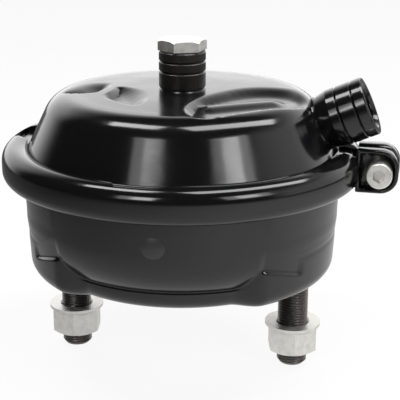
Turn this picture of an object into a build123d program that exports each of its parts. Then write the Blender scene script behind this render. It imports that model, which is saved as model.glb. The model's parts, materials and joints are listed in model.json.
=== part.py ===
"""Air brake chamber for a disc-brake caliper, type 24, in millimetres.

The frame's origin is the centre of the mounting face. +Z runs up the
chamber's axis, +X points to the side port and -Y to the front vent plug.
"""
import os
from math import cos, radians, sin, sqrt

from build123d import *

# Shells
WALL = 3.0  # sheet thickness of both shells
SHELL_R = 81.4  # outer radius of the lower shell's wall
CORNER_R = 26.8  # outer radius of the lower shell's bottom corner
CORNER_TOP_Z = 31.0  # where that corner meets the straight wall
FLANGE_Z = 54.5  # underside of the lower shell's flange
FLANGE_REACH = 7.1  # how far both flanges stand out from the lower wall
FLANGE_BEND_R = 2.0  # bend between the lower wall and its flange
FLANGE_ROOT = 6.0  # how far the bend's section reaches down and up the walls
DOME_INSET = 1.4  # how far the upper shell's foot lies inside the lower wall
DOME_H = 29.4  # height of the upper shell over its flange
DOME_LEAN = 26.2  # degrees that the upper shell's wall leans in
DOME_FOOT_BEND_R = 0.6
SHOULDER_R = 15.0  # outer radius between the upper wall and the crown

# Mounting base, a flat pad pressed out of the lower shell's floor
BASE_FLOOR = 4.0  # floor thickness at the mounting face
BASE_FRONT_INSET = 9.8  # from the lower wall to the outline's front and back
BASE_SIDE_INSET = 1.8  # from the lower wall to the outline round each stud
BASE_FRONT_SPAN = 32.0  # degrees each side of the front that its arc covers
BASE_SIDE_SPAN = 51.0  # degrees each side of a stud that its arc covers
BASE_TURN = 2.3  # degrees that the outline is turned against the studs
BASE_TOP_Z = 26.0  # where the side lobes run out into the wall
BASE_DRAFT = 3.0
BASE_EDGE_R = 5.0  # rounding round the mounting face
BASE_CORNER_R = 7.0  # rounding between the outline's straights and arcs
OPENING_R = 26.0  # opening in the floor for the push rod

# Dents above the four corners of the base
DENT_AZIMUTH = 48.0  # degrees from the X axis to the deepest point
DENT_DEPTH = 1.8  # under the base's face, at the ledge
DENT_LEAN = 14.0  # degrees that the dent's floor leans out going up
DENT_LEDGE_Z = 19.2  # height of the ledge at the deepest point
DENT_LEDGE_SLOPE = 15.5  # degrees that the ledge falls towards the X axis
DENT_HEIGHT = 12.0
DENT_WIDTH = 25.0
DENT_SHORT_SIDE = 5.0  # from the deepest point to the dent's steep side

# Clamp ring
CLAMP_SHEET = 2.4
CLAMP_RIM_GAP = 2.1  # clearance round the rims of both flanges
CLAMP_SKIRT = 5.2  # how far the ring reaches below the lower flange
CLAMP_TUCK = 1.2  # how far its bottom edge turns in
CLAMP_TUCK_H = 3.0
CLAMP_TUCK_R = 0.8
CLAMP_CROWN = 0.4  # how far the top flange rises to the shoulder
CLAMP_SHOULDER_R = 2.8
CLAMP_LIP_DROP = 1.0  # how far the top flange falls to its inner edge
CLAMP_TOP_GAP = 0.1  # clearance over the upper shell's flange
CLAMP_LIP_GAP = 0.8  # clearance round the upper shell's wall
CLAMP_LOW_LIP_GAP = 0.2  # clearance round the lower shell's bend
CLAMP_GAP = 3.0  # gap between the two ears
CLAMP_MOUTH = 10.0  # degrees that the flanges are cut back at the gap
EAR_OUT = 18.8  # from the ring's face to the ears' ends
EAR_RISE = 2.1  # how far an ear stands over and under the ring
EAR_T = 3.0
EAR_CORNER_R = 9.0
EAR_RIM_H = 5.5  # height of the rim round an ear, over its plate
EAR_RIM_T = 2.0
EAR_BEND_R = 2.2
NOTCH_IN = 4.2  # from the ring's face to the relief notches
NOTCH_SPAN = 13.5  # degrees that a notch covers at its outer radius
NOTCH_SIDE_LEAN = 3.4  # extra degrees on each side at its mouth
NOTCH_AZIMUTHS = (-91.0, 90.0, 180.0)
NOTCH_SINK = 0.2  # how far a notch cuts below the top flange
GAUGE_HOLE_R = 1.0
GAUGE_HOLE_AZIMUTH = -19.6
GAUGE_HOLE_RISE = 1.0  # above the ears' middle

# Clamp screw
SCREW_R = 4.0
SCREW_IN = 9.3  # from the ears' ends to the screw's centre
SCREW_DROP = 0.9  # below the ears' middle
SCREW_HEAD_R = 6.5
SCREW_HEAD_H = 8.0
SCREW_HEAD_EDGE = 0.8
SCREW_TIP = 0.8
SCREW_SOCKET_AF = 6.0
SCREW_SOCKET_DEPTH = 4.0
SCREW_TAIL = 3.0  # thread that stands out of the nut
SCREW_HOLE_GAP = 0.4
SCREW_WASHER_R = 6.4
SCREW_WASHER_T = 2.0
SCREW_WASHER_SPLIT = 1.2  # width of the spring washer's slit
SCREW_WASHER_EDGE = 0.3
SCREW_NUT_AF = 13.0
SCREW_NUT_H = 6.8
SCREW_NUT_EDGE = 0.8
HEX_TURN = 30.0  # azimuth of a corner of the screw's socket and nut

# Mounting studs and flange nuts
STUD_SPACING = 120.65
STUD_R = 8.0
STUD_REACH = 52.5  # below the mounting face
STUD_THREAD_DROP = 0.2  # how far the bare thread lies inside the shank's face
STUD_TIP = 1.6  # chamfer at the tip
STUD_NECK_STEP = 0.6  # how far the neck stands out of the shank
STUD_HEAD_R = 12.0
STUD_HEAD_H = 5.0
STUD_HEAD_EDGE = 1.0
NUT_SEAT_Z = -29.1  # flange face of the nuts
NUT_FLANGE_R = 14.7
NUT_FLANGE_RIM = 1.5
NUT_FLANGE_CONE = 2.2
NUT_AF = 24.0
NUT_HEIGHT = 16.0
NUT_EDGE = 0.6  # chamfer of the hexagon's flats
NUT_EDGE_H = 1.4
NUT_SINK = 1.0  # how far the countersinks open past the shank
NUT_TURNS = {"right": -76.0, "left": -81.0}
THREAD_GAP = 0.05  # radial clearance between a thread and its nut or boss
NECK_GAP = 0.05

# Top port boss and its plug
BOSS_R = 12.0
BOSS_H = 19.9
BOSS_FOOT = 1.1
BOSS_FOOT_H = 2.0
BOSS_GROOVES = (9.6, 14.8)  # above the boss's foot
GROOVE_DEPTH = 0.7
BOSS_EDGE = 0.6
BOSS_BORE_R = 7.6
PLUG_SEAL_INSET = 0.4  # from the boss's face to the seal's
PLUG_SEAL_T = 0.5
PLUG_AF = 22.0
PLUG_HEAD_H = 5.2
PLUG_HEAD_TURN = 23.0
PLUG_HEAD_FLAT = 0.3  # how far the top face reaches past the flats
PLUG_HEAD_EDGE_H = 0.9
PLUG_LENGTH = 12.0
PLUG_TIP = 1.0

# Side port boss
PORT_LEAN = 23.5  # degrees that its axis rises
PORT_OUT = 16.0  # from the upper shell's foot to the mouth's centre
PORT_DROP = 3.8  # from the crown down to the mouth's centre
PORT_R = 15.0
PORT_LENGTH = 18.7  # cylindrical length from the mouth
PORT_CONE = 10.0  # length of the tapered foot
PORT_FOOT_R = 12.5
PORT_GROOVES = (5.8, 14.0)  # from the mouth
PORT_BORE_R = 10.25
PORT_BORE_DEPTH = 14.0
PORT_THROAT_R = 6.0
PORT_CHAMFER = 1.4

# Vent plugs
VENT_R = 5.7
VENT_Z = 35.6
VENT_AZIMUTHS = {"front": -87.0, "rear": 93.0}
VENT_HOLE_GAP = 0.1
VENT_CROWN = 1.0  # how far the plug's face stands out
VENT_EDGE_DEPTH = 0.2  # how far its rim lies under the wall's face
VENT_LIP = 1.1  # how far the lip inside reaches past the hole
VENT_LIP_T = 1.2
VENT_LIP_EDGE = 0.8
VENT_LIP_GAP = 0.1

# Crown recesses, outlines in plan
RECESS_DEPTH = 3.0
RECESS_CORNER_R = 3.2
RECESS_SLOPE = 35.0
RECESS_FLOOR_R = 2.0  # rounding round a recess's floor
RECESS_RIM_R = 1.5  # rounding of a recess's rim
RECESS_RIM_REACH = 2.0  # how far below the crown a recess's rim can lie
RECESSES = {
    "right": ((12, -25), (12, -52), (24, -60), (42, -37), (63, -18),
              (66, 2), (56, 17), (43, 18), (27, 8), (16, -14)),
    "left": ((-14, -24), (-26, -5), (-36, 4), (-48, 7), (-57, -7),
             (-58, -19), (-43, -19), (-30, -30), (-20, -50), (-13, -47)),
}

# Diaphragm, pressure plate and push rod
BEAD_T = 3.9
BEAD_INSET = 0.5  # from the flanges' rims to the bead's
RUBBER_T = 3.2
RUBBER_TOP_GAP = 0.5  # under the recesses of the crown
RUBBER_GAP = 0.6  # to the upper shell's wall
PLATE_R = 54.0
PLATE_T = 3.0
PLATE_GAP = 0.3  # under the diaphragm
PLATE_EDGE_R = 5.0
ROD_R = 9.0
ROD_TIP_Z = -15.0
ROD_COLLAR_R = 16.0
ROD_COLLAR_H = 5.0
ROD_COLLAR_EDGE = 3.0

# Return spring and its seat
SPRING_WIRE_R = 2.5
SPRING_SIDE_GAP = 0.5  # between the spring's foot and the seat's rim
SPRING_HEAD_R = 24.5
SPRING_TURNS = 3.5
SPRING_POINTS = 8  # points of the coil's line in one turn
SPRING_SIDES = 12  # flats that stand for the round wire
SEAT_STUD_GAP = 0.8  # between the seat and the studs' heads
SEAT_T = 1.5
SEAT_RIM_H = 4.0
STUD_PLATE_T = 3.0
STUD_PLATE_END_R = 14.0

# Gaiter round the push rod
GAITER_FOOT_R = 34.0
GAITER_FOOT_T = 2.0
GAITER_SKIN = 1.2
GAITER_OUTER_R = 21.0
GAITER_INNER_R = 14.0
GAITER_FOLDS = 6
GAITER_TOP_Z = 74.0
GAITER_NECK_H = 6.0
GAITER_ROD_GAP = 0.05
CLIP_T = 1.4
CLIP_H = 3.0
RETAINER_RIM = 1.5  # how far the retainer reaches past the gaiter's foot
RETAINER_GAP = 1.0  # between the retainer and the stud plate
RETAINER_BORE_GAP = 3.0  # between the retainer and the gaiter's folds
RETAINER_T = 1.5

# Rubber ring in the mounting face
SEAL_INNER_R = 32.0
SEAL_OUTER_R = 36.0
SEAL_DEPTH = 2.0
SEAL_GAP = 0.2

# Radii that follow from the sizes above
FLANGE_R = SHELL_R + FLANGE_REACH
DOME_FOOT_R = SHELL_R - DOME_INSET
BASE_FRONT_R = SHELL_R - BASE_FRONT_INSET
BASE_SIDE_R = SHELL_R - BASE_SIDE_INSET
CLAMP_INNER_R = FLANGE_R + CLAMP_RIM_GAP
CLAMP_R = CLAMP_INNER_R + CLAMP_SHEET
NOTCH_R = CLAMP_R - NOTCH_IN
EAR_END_X = CLAMP_R + EAR_OUT
SCREW_X = EAR_END_X - SCREW_IN
STUD_X = STUD_SPACING / 2
STUD_THREAD_R = STUD_R - STUD_THREAD_DROP
STUD_NECK_R = STUD_R + STUD_NECK_STEP
SEAT_R = STUD_X - STUD_HEAD_R - SEAT_STUD_GAP
SPRING_FOOT_R = SEAT_R - SEAT_T - SPRING_SIDE_GAP - SPRING_WIRE_R
RETAINER_R = GAITER_FOOT_R + RETAINER_RIM
RETAINER_BORE_R = GAITER_OUTER_R + RETAINER_BORE_GAP
STUD_PLATE_R = RETAINER_R + RETAINER_GAP

# Levels that follow from the sizes above
LOW_FLANGE_TOP = FLANGE_Z + WALL
HIGH_FLANGE_Z = LOW_FLANGE_TOP + BEAD_T
HIGH_FLANGE_TOP = HIGH_FLANGE_Z + WALL
CROWN_Z = HIGH_FLANGE_TOP + DOME_H
CLAMP_BOTTOM_Z = FLANGE_Z - CLAMP_SKIRT
CLAMP_LIP_Z = HIGH_FLANGE_TOP + CLAMP_TOP_GAP
CLAMP_TOP_Z = CLAMP_LIP_Z + CLAMP_SHEET + CLAMP_CROWN
EAR_Z = (CLAMP_BOTTOM_Z + CLAMP_TOP_Z) / 2
EAR_HALF_H = (CLAMP_TOP_Z - CLAMP_BOTTOM_Z) / 2 + EAR_RISE
SCREW_Z = EAR_Z - SCREW_DROP
EAR_FACE = CLAMP_GAP / 2 + EAR_T
RUBBER_TOP_Z = CROWN_Z - RECESS_DEPTH - WALL - RUBBER_TOP_GAP
PLATE_TOP_Z = RUBBER_TOP_Z - RUBBER_T - PLATE_GAP
PLATE_Z = PLATE_TOP_Z - PLATE_T
INNER_FLOOR_Z = BASE_FLOOR + STUD_PLATE_T
SEAT_TOP_Z = INNER_FLOOR_Z + SEAT_T


def polar(radius, azimuth):
    """A plan point at a radius and an azimuth in degrees."""
    return (radius * cos(radians(azimuth)), radius * sin(radians(azimuth)))


def nearest(builder, x, y):
    """The sketch corner nearest to a point."""
    return builder.vertices().sort_by_distance((x, y, 0))[0]


def hexagon(across_flats, turn):
    """A hexagon in the current sketch, with a corner at the azimuth turn."""
    RegularPolygon(across_flats / 2, 6, major_radius=False, rotation=turn)


def dome_foot_r(inset, z):
    """Radius of the upper shell's leaning wall, inset from its outer face."""
    lean = radians(DOME_LEAN)
    return DOME_FOOT_R - inset / cos(lean) - (z - HIGH_FLANGE_TOP) * sin(lean) / cos(lean)


def dome_solid(inset, low_z, top_z):
    """Solid of revolution inside the upper shell's wall and crown."""
    with BuildPart() as dome:
        with BuildSketch(Plane.XZ) as profile:
            shoulder = (dome_foot_r(inset, top_z), top_z)
            Polygon((0, low_z), (dome_foot_r(inset, low_z), low_z), shoulder, (0, top_z), align=None)
            fillet(nearest(profile, *shoulder), SHOULDER_R - inset)
        revolve(axis=Axis.Z)
    return dome.part


def cup_solid(inset, top_z):
    """Solid of revolution inside the lower shell's corner and wall."""
    low_z = CORNER_TOP_Z - CORNER_R + inset
    with BuildPart() as cup:
        with BuildSketch(Plane.XZ) as profile:
            corner = (SHELL_R - inset, low_z)
            Polygon((0, low_z), corner, (SHELL_R - inset, top_z), (0, top_z), align=None)
            fillet(nearest(profile, *corner), CORNER_R - inset)
        revolve(axis=Axis.Z)
    return cup.part


def base_outline(inset):
    """Outline of the mounting base, wider round the two studs."""
    front = BASE_FRONT_R - inset
    side = BASE_SIDE_R - inset
    a = 90 - BASE_FRONT_SPAN
    b = BASE_SIDE_SPAN
    with BuildSketch() as outline:
        with BuildLine():
            ThreePointArc(polar(front, -180 + a), polar(front, -90), polar(front, -a))
            Line(polar(front, -a), polar(side, -b))
            ThreePointArc(polar(side, -b), polar(side, 0), polar(side, b))
            Line(polar(side, b), polar(front, a))
            ThreePointArc(polar(front, a), polar(front, 90), polar(front, 180 - a))
            Line(polar(front, 180 - a), polar(side, 180 - b))
            ThreePointArc(polar(side, 180 - b), polar(side, 180), polar(side, -180 + b))
            Line(polar(side, -180 + b), polar(front, -180 + a))
        make_face()
        fillet(outline.vertices(), BASE_CORNER_R)
    return outline.sketch.rotate(Axis.Z, BASE_TURN)


def base_pad():
    """Drafted block of the mounting base, rounded at its face."""
    with BuildPart() as pad:
        add(base_outline(0))
        extrude(amount=BASE_TOP_Z, taper=-BASE_DRAFT)
        fillet(pad.faces().sort_by(Axis.Z)[0].edges(), BASE_EDGE_R)
    return pad.part


def radial_plane(azimuth, radius, z):
    """Plane across a radius, with its normal pointing outwards."""
    return Plane(origin=(*polar(radius, azimuth), z), x_dir=(*polar(1, azimuth + 90), 0),
                 z_dir=(*polar(1, azimuth), 0))


def base_dent(azimuth, side):
    """Cutter for a shallow dent over a corner of the base; side says which way it falls."""
    lean = radians(DENT_LEAN)
    slope = radians(DENT_LEDGE_SLOPE) * side
    face_r = BASE_SIDE_R + DENT_LEDGE_Z * sin(radians(BASE_DRAFT))
    outward = Vector(*polar(1, azimuth + BASE_TURN))
    along = Vector(*polar(1, azimuth + BASE_TURN + 90))
    upward = outward * sin(lean) + Vector(0, 0, cos(lean))
    deepest = outward * (face_r - DENT_DEPTH) + Vector(0, 0, DENT_LEDGE_Z)
    floor = Plane(deepest, x_dir=along * cos(slope) - upward * sin(slope), z_dir=along.cross(upward))
    with BuildPart() as dent:
        with BuildSketch(floor):
            with Locations((side * (DENT_WIDTH / 2 - DENT_SHORT_SIDE), DENT_HEIGHT / 2)):
                Rectangle(DENT_WIDTH, DENT_HEIGHT)
        extrude(amount=2 * WALL)
    return dent.part


def make_mounting_housing():
    """Lower shell: cup, flange and mounting base in one pressing."""
    with BuildPart() as mounting_housing:
        add(cup_solid(0, LOW_FLANGE_TOP))
        with BuildSketch(Plane.XZ) as flange:
            bend = (SHELL_R, FLANGE_Z)
            root_z = FLANGE_Z - FLANGE_ROOT
            Polygon((0, root_z), (SHELL_R, root_z), bend, (FLANGE_R, FLANGE_Z),
                    (FLANGE_R, LOW_FLANGE_TOP), (0, LOW_FLANGE_TOP), align=None)
            fillet(nearest(flange, *bend), FLANGE_BEND_R)
        revolve(axis=Axis.Z)
        add(base_pad())
        add(cup_solid(WALL, LOW_FLANGE_TOP), mode=Mode.SUBTRACT)
        with BuildSketch(Plane.XY.offset(BASE_FLOOR)):
            add(base_outline(WALL))
        extrude(amount=BASE_TOP_Z - BASE_FLOOR, mode=Mode.SUBTRACT)
        for side in (-1, 1):
            add(base_dent(-side * DENT_AZIMUTH, side), mode=Mode.SUBTRACT)
            add(base_dent(180 - side * DENT_AZIMUTH, side), mode=Mode.SUBTRACT)
        with BuildSketch():
            Circle(OPENING_R)
            with GridLocations(STUD_SPACING, 0, 2, 1):
                Circle(STUD_NECK_R + NECK_GAP)
        extrude(amount=BASE_FLOOR, mode=Mode.SUBTRACT)
        with BuildSketch():
            Circle(SEAL_OUTER_R)
            Circle(SEAL_INNER_R, mode=Mode.SUBTRACT)
        extrude(amount=SEAL_DEPTH, mode=Mode.SUBTRACT)
        for azimuth in VENT_AZIMUTHS.values():
            with BuildSketch(radial_plane(azimuth, SHELL_R - 3 * WALL, VENT_Z)):
                Circle(VENT_R + VENT_HOLE_GAP)
            extrude(amount=4 * WALL, mode=Mode.SUBTRACT)
    return mounting_housing.part


def recess_block(name, top_z, depth, slope):
    """Block with a crown recess's kidney-shaped outline, tapering down."""
    with BuildPart() as block:
        with BuildSketch(Plane.XY.offset(top_z)) as outline:
            Polygon(*RECESSES[name], align=None)
            fillet(outline.vertices(), RECESS_CORNER_R)
        extrude(amount=-depth, taper=slope)
    return block


def recess_floor(name):
    """Sheet under a recess, kept inside the upper shell's outer face."""
    floor = recess_block(name, CROWN_Z - RECESS_DEPTH / 2, WALL + RECESS_DEPTH / 2, 0).part
    return floor & dome_solid(0, HIGH_FLANGE_Z, CROWN_Z)


def recess_cut(name):
    """Cutter for a crown recess, rounded at its floor."""
    block = recess_block(name, CROWN_Z, RECESS_DEPTH, RECESS_SLOPE)
    return block.part.fillet(RECESS_FLOOR_R, block.faces().sort_by(Axis.Z)[0].edges())


def port_plane(depth):
    """Plane across the side port's axis, a depth in from its mouth."""
    lean = radians(PORT_LEAN)
    mouth = Vector(DOME_FOOT_R + PORT_OUT, 0, CROWN_Z - PORT_DROP)
    origin = mouth - Vector(cos(lean), 0, sin(lean)) * depth
    return Plane(origin=origin, x_dir=(0, 1, 0), z_dir=(cos(lean), 0, sin(lean)))


def make_pressure_housing():
    """Upper shell: leaning wall, crown with two recesses, and flange."""
    with BuildPart() as pressure_housing:
        add(dome_solid(0, HIGH_FLANGE_Z, CROWN_Z))
        with BuildSketch(Plane.XZ) as flange:
            bend = (DOME_FOOT_R, HIGH_FLANGE_TOP)
            root_z = HIGH_FLANGE_TOP + FLANGE_ROOT
            Polygon((0, HIGH_FLANGE_Z), (FLANGE_R, HIGH_FLANGE_Z), (FLANGE_R, HIGH_FLANGE_TOP), bend,
                    (dome_foot_r(0, root_z), root_z), (0, root_z), align=None)
            fillet(nearest(flange, *bend), DOME_FOOT_BEND_R)
        revolve(axis=Axis.Z)
        add(dome_solid(WALL, HIGH_FLANGE_Z, CROWN_Z - WALL), mode=Mode.SUBTRACT)
        for name in RECESSES:
            add(recess_floor(name))
            add(recess_cut(name), mode=Mode.SUBTRACT)
            rim = pressure_housing.edges(Select.LAST).filter_by_position(Axis.Z, CROWN_Z - RECESS_RIM_REACH, CROWN_Z)
            fillet(rim, RECESS_RIM_R)
        with BuildSketch(Plane.XY.offset(CROWN_Z)):
            Circle(BOSS_BORE_R)
        extrude(amount=-2 * WALL, mode=Mode.SUBTRACT)
        with BuildSketch(port_plane(PORT_LENGTH)):
            Circle(PORT_THROAT_R)
        extrude(amount=-PORT_LENGTH, mode=Mode.SUBTRACT)
    return pressure_housing.part


def clamp_section():
    """Channel section of the clamp ring, in the XZ plane."""
    lip_r = DOME_FOOT_R + CLAMP_LIP_GAP
    low_lip_r = SHELL_R + FLANGE_BEND_R + CLAMP_LOW_LIP_GAP
    low_lip_z = FLANGE_Z - CLAMP_TOP_GAP
    inside_z = CLAMP_BOTTOM_Z + CLAMP_SHEET
    with BuildSketch(Plane.XZ) as section:
        shoulder = (CLAMP_R, CLAMP_TOP_Z)
        tuck = (CLAMP_R - CLAMP_TUCK, CLAMP_BOTTOM_Z)
        Polygon(
            (lip_r, CLAMP_TOP_Z - CLAMP_LIP_DROP),
            (NOTCH_R, CLAMP_TOP_Z),
            shoulder,
            (CLAMP_R, CLAMP_BOTTOM_Z + CLAMP_TUCK_H),
            tuck,
            (low_lip_r, low_lip_z - CLAMP_SHEET),
            (low_lip_r, low_lip_z),
            (CLAMP_INNER_R - CLAMP_TUCK, inside_z),
            (CLAMP_INNER_R, inside_z + CLAMP_TUCK),
            (CLAMP_INNER_R, CLAMP_LIP_Z),
            (lip_r, CLAMP_LIP_Z),
            align=None,
        )
        fillet(nearest(section, *shoulder), CLAMP_SHOULDER_R)
        fillet(nearest(section, *tuck), CLAMP_TUCK_R)
    return section.sketch


def front_plane(x, y, z):
    """Plane that faces the front, with its origin at a point."""
    return Plane(origin=(x, y, z), x_dir=(1, 0, 0), z_dir=(0, -1, 0))


def ear_outline(inset):
    """Outline of an ear about its middle, from inside the ring's web."""
    end = EAR_END_X - inset
    half = EAR_HALF_H - inset
    with BuildSketch() as outline:
        Polygon((CLAMP_INNER_R, -half), (end, -half), (end, half), (CLAMP_INNER_R, half), align=None)
        fillet(outline.vertices().sort_by(Axis.X)[2:], EAR_CORNER_R - inset)
    return outline.sketch


def make_ear():
    """Front ear: a plate with a rim pressed forward round its edge."""
    with BuildPart() as ear:
        with BuildSketch(front_plane(0, -CLAMP_GAP / 2, EAR_Z)):
            add(ear_outline(0))
        extrude(amount=EAR_T + EAR_RIM_H)
        back = ear.faces().sort_by(Axis.Y)[-1]
        fillet(back.edges().sort_by(Axis.X)[1:], EAR_BEND_R)
        with BuildSketch(front_plane(0, -EAR_FACE, EAR_Z)):
            add(ear_outline(EAR_RIM_T))
        extrude(amount=EAR_RIM_H, mode=Mode.SUBTRACT)
        with BuildSketch(front_plane(SCREW_X, -EAR_FACE, SCREW_Z)):
            Circle(SCREW_R + SCREW_HOLE_GAP)
        extrude(amount=-EAR_T, mode=Mode.SUBTRACT)
    return ear.part


def make_clamp_ring():
    """One-piece clamp ring with two bolted ears and relief notches."""
    mouth = CLAMP_MOUTH / 2
    far = 2 * CLAMP_R
    height = CLAMP_TOP_Z - CLAMP_BOTTOM_Z
    ear = make_ear()
    with BuildPart() as clamp_ring:
        add(clamp_section())
        revolve(axis=Axis.Z)
        with BuildSketch(Plane.XY.offset(CLAMP_BOTTOM_Z - CLAMP_SHEET)):
            Polygon((0, 0), polar(far, -mouth), polar(far, mouth), align=None)
            Circle(CLAMP_INNER_R - THREAD_GAP, mode=Mode.INTERSECT)
        extrude(amount=height + 2 * CLAMP_SHEET, mode=Mode.SUBTRACT)
        with Locations((CLAMP_R, 0, EAR_Z)):
            Box(4 * CLAMP_SHEET, CLAMP_GAP, 2 * height, mode=Mode.SUBTRACT)
        add(ear)
        add(mirror(ear, about=Plane.XZ))
        for azimuth in NOTCH_AZIMUTHS:
            half = NOTCH_SPAN / 2
            mouth_half = half + NOTCH_SIDE_LEAN
            with BuildSketch(Plane.XY.offset(CLAMP_LIP_Z - NOTCH_SINK)):
                Polygon((0, 0), polar(DOME_FOOT_R, azimuth - mouth_half), polar(NOTCH_R, azimuth - half),
                        polar(far, azimuth), polar(NOTCH_R, azimuth + half),
                        polar(DOME_FOOT_R, azimuth + mouth_half), align=None)
                Circle(NOTCH_R, mode=Mode.INTERSECT)
            extrude(amount=2 * CLAMP_SHEET, mode=Mode.SUBTRACT)
        hole_z = EAR_Z + GAUGE_HOLE_RISE
        with BuildSketch(radial_plane(GAUGE_HOLE_AZIMUTH, CLAMP_INNER_R - CLAMP_SHEET, hole_z)):
            Circle(GAUGE_HOLE_R)
        extrude(amount=3 * CLAMP_SHEET, mode=Mode.SUBTRACT)
    return clamp_ring.part


def screw_plane(y):
    """Plane across the clamp screw at a Y position, facing the front."""
    return front_plane(SCREW_X, y, SCREW_Z)


def make_clamp_screw():
    """Socket-head screw that closes the clamp ring."""
    head_y = -EAR_FACE - SCREW_WASHER_T
    tail_y = EAR_FACE + SCREW_NUT_H + SCREW_TAIL
    with BuildPart() as clamp_screw:
        with BuildSketch(screw_plane(head_y)):
            Circle(SCREW_HEAD_R)
        extrude(amount=SCREW_HEAD_H)
        fillet(clamp_screw.faces().sort_by(Axis.Y)[0].edges(), SCREW_HEAD_EDGE)
        with BuildSketch(screw_plane(head_y)):
            Circle(SCREW_R)
        extrude(amount=-(tail_y - head_y))
        chamfer(clamp_screw.faces().sort_by(Axis.Y)[-1].edges(), SCREW_TIP)
        with BuildSketch(screw_plane(head_y - SCREW_HEAD_H)):
            hexagon(SCREW_SOCKET_AF, HEX_TURN)
        extrude(amount=-SCREW_SOCKET_DEPTH, mode=Mode.SUBTRACT)
    return clamp_screw.part


def make_clamp_washer():
    """Split spring washer between the screw's head and the front ear."""
    with BuildPart() as clamp_washer:
        with BuildSketch(screw_plane(-EAR_FACE)):
            Circle(SCREW_WASHER_R)
            Circle(SCREW_R + SCREW_HOLE_GAP / 2, mode=Mode.SUBTRACT)
            with Locations((-SCREW_WASHER_R, 0)):
                Rectangle(SCREW_WASHER_R * 2, SCREW_WASHER_SPLIT, mode=Mode.SUBTRACT)
        extrude(amount=SCREW_WASHER_T)
        chamfer(clamp_washer.faces().sort_by(Axis.Y)[0].edges(), SCREW_WASHER_EDGE)
    return clamp_washer.part


def make_clamp_nut():
    """Hexagon nut behind the rear ear."""
    far = EAR_FACE + SCREW_NUT_H
    corner_r = SCREW_NUT_AF / 2 / cos(radians(30))
    with BuildPart() as clamp_nut:
        with BuildSketch(screw_plane(EAR_FACE)):
            hexagon(SCREW_NUT_AF, HEX_TURN)
            Circle(SCREW_R + THREAD_GAP, mode=Mode.SUBTRACT)
        extrude(amount=-SCREW_NUT_H)
        with BuildSketch(Plane(origin=(SCREW_X, 0, SCREW_Z))):
            Polygon((0, EAR_FACE), (corner_r, EAR_FACE), (corner_r, far - SCREW_NUT_EDGE),
                    (corner_r - 2 * SCREW_NUT_EDGE, far), (0, far), align=None)
        revolve(axis=Axis((SCREW_X, 0, SCREW_Z), (0, 1, 0)), mode=Mode.INTERSECT)
    return clamp_nut.part


def make_stud(x):
    """Mounting stud with its head inside the chamber."""
    head_z = INNER_FLOOR_Z
    top_z = head_z + STUD_HEAD_H
    with BuildPart() as stud:
        with BuildSketch(Plane.XZ):
            Polygon(
                (0, -STUD_REACH),
                (STUD_THREAD_R - STUD_TIP, -STUD_REACH),
                (STUD_THREAD_R, -STUD_REACH + STUD_TIP),
                (STUD_THREAD_R, NUT_SEAT_Z),
                (STUD_R, NUT_SEAT_Z),
                (STUD_R, 0),
                (STUD_NECK_R, 0),
                (STUD_NECK_R, head_z),
                (STUD_HEAD_R, head_z),
                (STUD_HEAD_R, top_z - STUD_HEAD_EDGE),
                (STUD_HEAD_R - STUD_HEAD_EDGE, top_z),
                (0, top_z),
                align=None,
            )
        revolve(axis=Axis.Z)
    return Pos(x, 0, 0) * stud.part


def make_flange_nut(x, turn):
    """Hexagon flange nut, its flange up against the caliper's bracket."""
    bore = STUD_THREAD_R + THREAD_GAP
    sink_r = STUD_R + NUT_SINK
    sink = sink_r - bore
    low_z = NUT_SEAT_Z - NUT_HEIGHT
    rim_z = NUT_SEAT_Z - NUT_FLANGE_RIM
    cone_z = rim_z - NUT_FLANGE_CONE
    flat_r = NUT_AF / 2
    corner_r = flat_r / cos(radians(30))
    with BuildPart() as nut:
        with BuildSketch(Plane.XY.offset(low_z)):
            hexagon(NUT_AF, turn)
        extrude(amount=NUT_HEIGHT)
        with BuildSketch(Plane.XZ):
            Polygon((0, low_z), (flat_r - NUT_EDGE, low_z), (corner_r, low_z + NUT_EDGE_H),
                    (corner_r, NUT_SEAT_Z), (0, NUT_SEAT_Z), align=None)
        revolve(axis=Axis.Z, mode=Mode.INTERSECT)
        with BuildSketch(Plane.XZ):
            Polygon((0, NUT_SEAT_Z), (NUT_FLANGE_R, NUT_SEAT_Z), (NUT_FLANGE_R, rim_z),
                    (flat_r, cone_z), (0, cone_z), align=None)
        revolve(axis=Axis.Z)
        with BuildSketch(Plane.XZ):
            Polygon((0, NUT_SEAT_Z), (sink_r, NUT_SEAT_Z), (bore, NUT_SEAT_Z - sink),
                    (bore, low_z + sink), (sink_r, low_z), (0, low_z), align=None)
        revolve(axis=Axis.Z, mode=Mode.SUBTRACT)
    return Pos(x, 0, 0) * nut.part


def make_stud_plate():
    """Reinforcing plate on the floor that the stud heads press on."""
    with BuildPart() as stud_plate:
        with BuildSketch(Plane.XY.offset(BASE_FLOOR)):
            SlotCenterToCenter(STUD_SPACING, 2 * STUD_PLATE_END_R)
            Circle(SEAT_R)
            Circle(STUD_PLATE_R, mode=Mode.SUBTRACT)
            with GridLocations(STUD_SPACING, 0, 2, 1):
                Circle(STUD_NECK_R + NECK_GAP, mode=Mode.SUBTRACT)
        extrude(amount=STUD_PLATE_T)
    return stud_plate.part


def grooved_boss(radius, foot_r, foot_h, height, grooves):
    """Half section of a turned boss with V grooves, foot at the origin."""
    points = [(0, 0), (foot_r, 0), (radius, foot_h)]
    for z in grooves:
        points += [(radius, z - GROOVE_DEPTH), (radius - GROOVE_DEPTH, z), (radius, z + GROOVE_DEPTH)]
    points += [(radius, height - BOSS_EDGE), (radius - BOSS_EDGE, height), (0, height)]
    with BuildSketch(Plane.XZ) as section:
        Polygon(*points, align=None)
    return section.sketch


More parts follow.
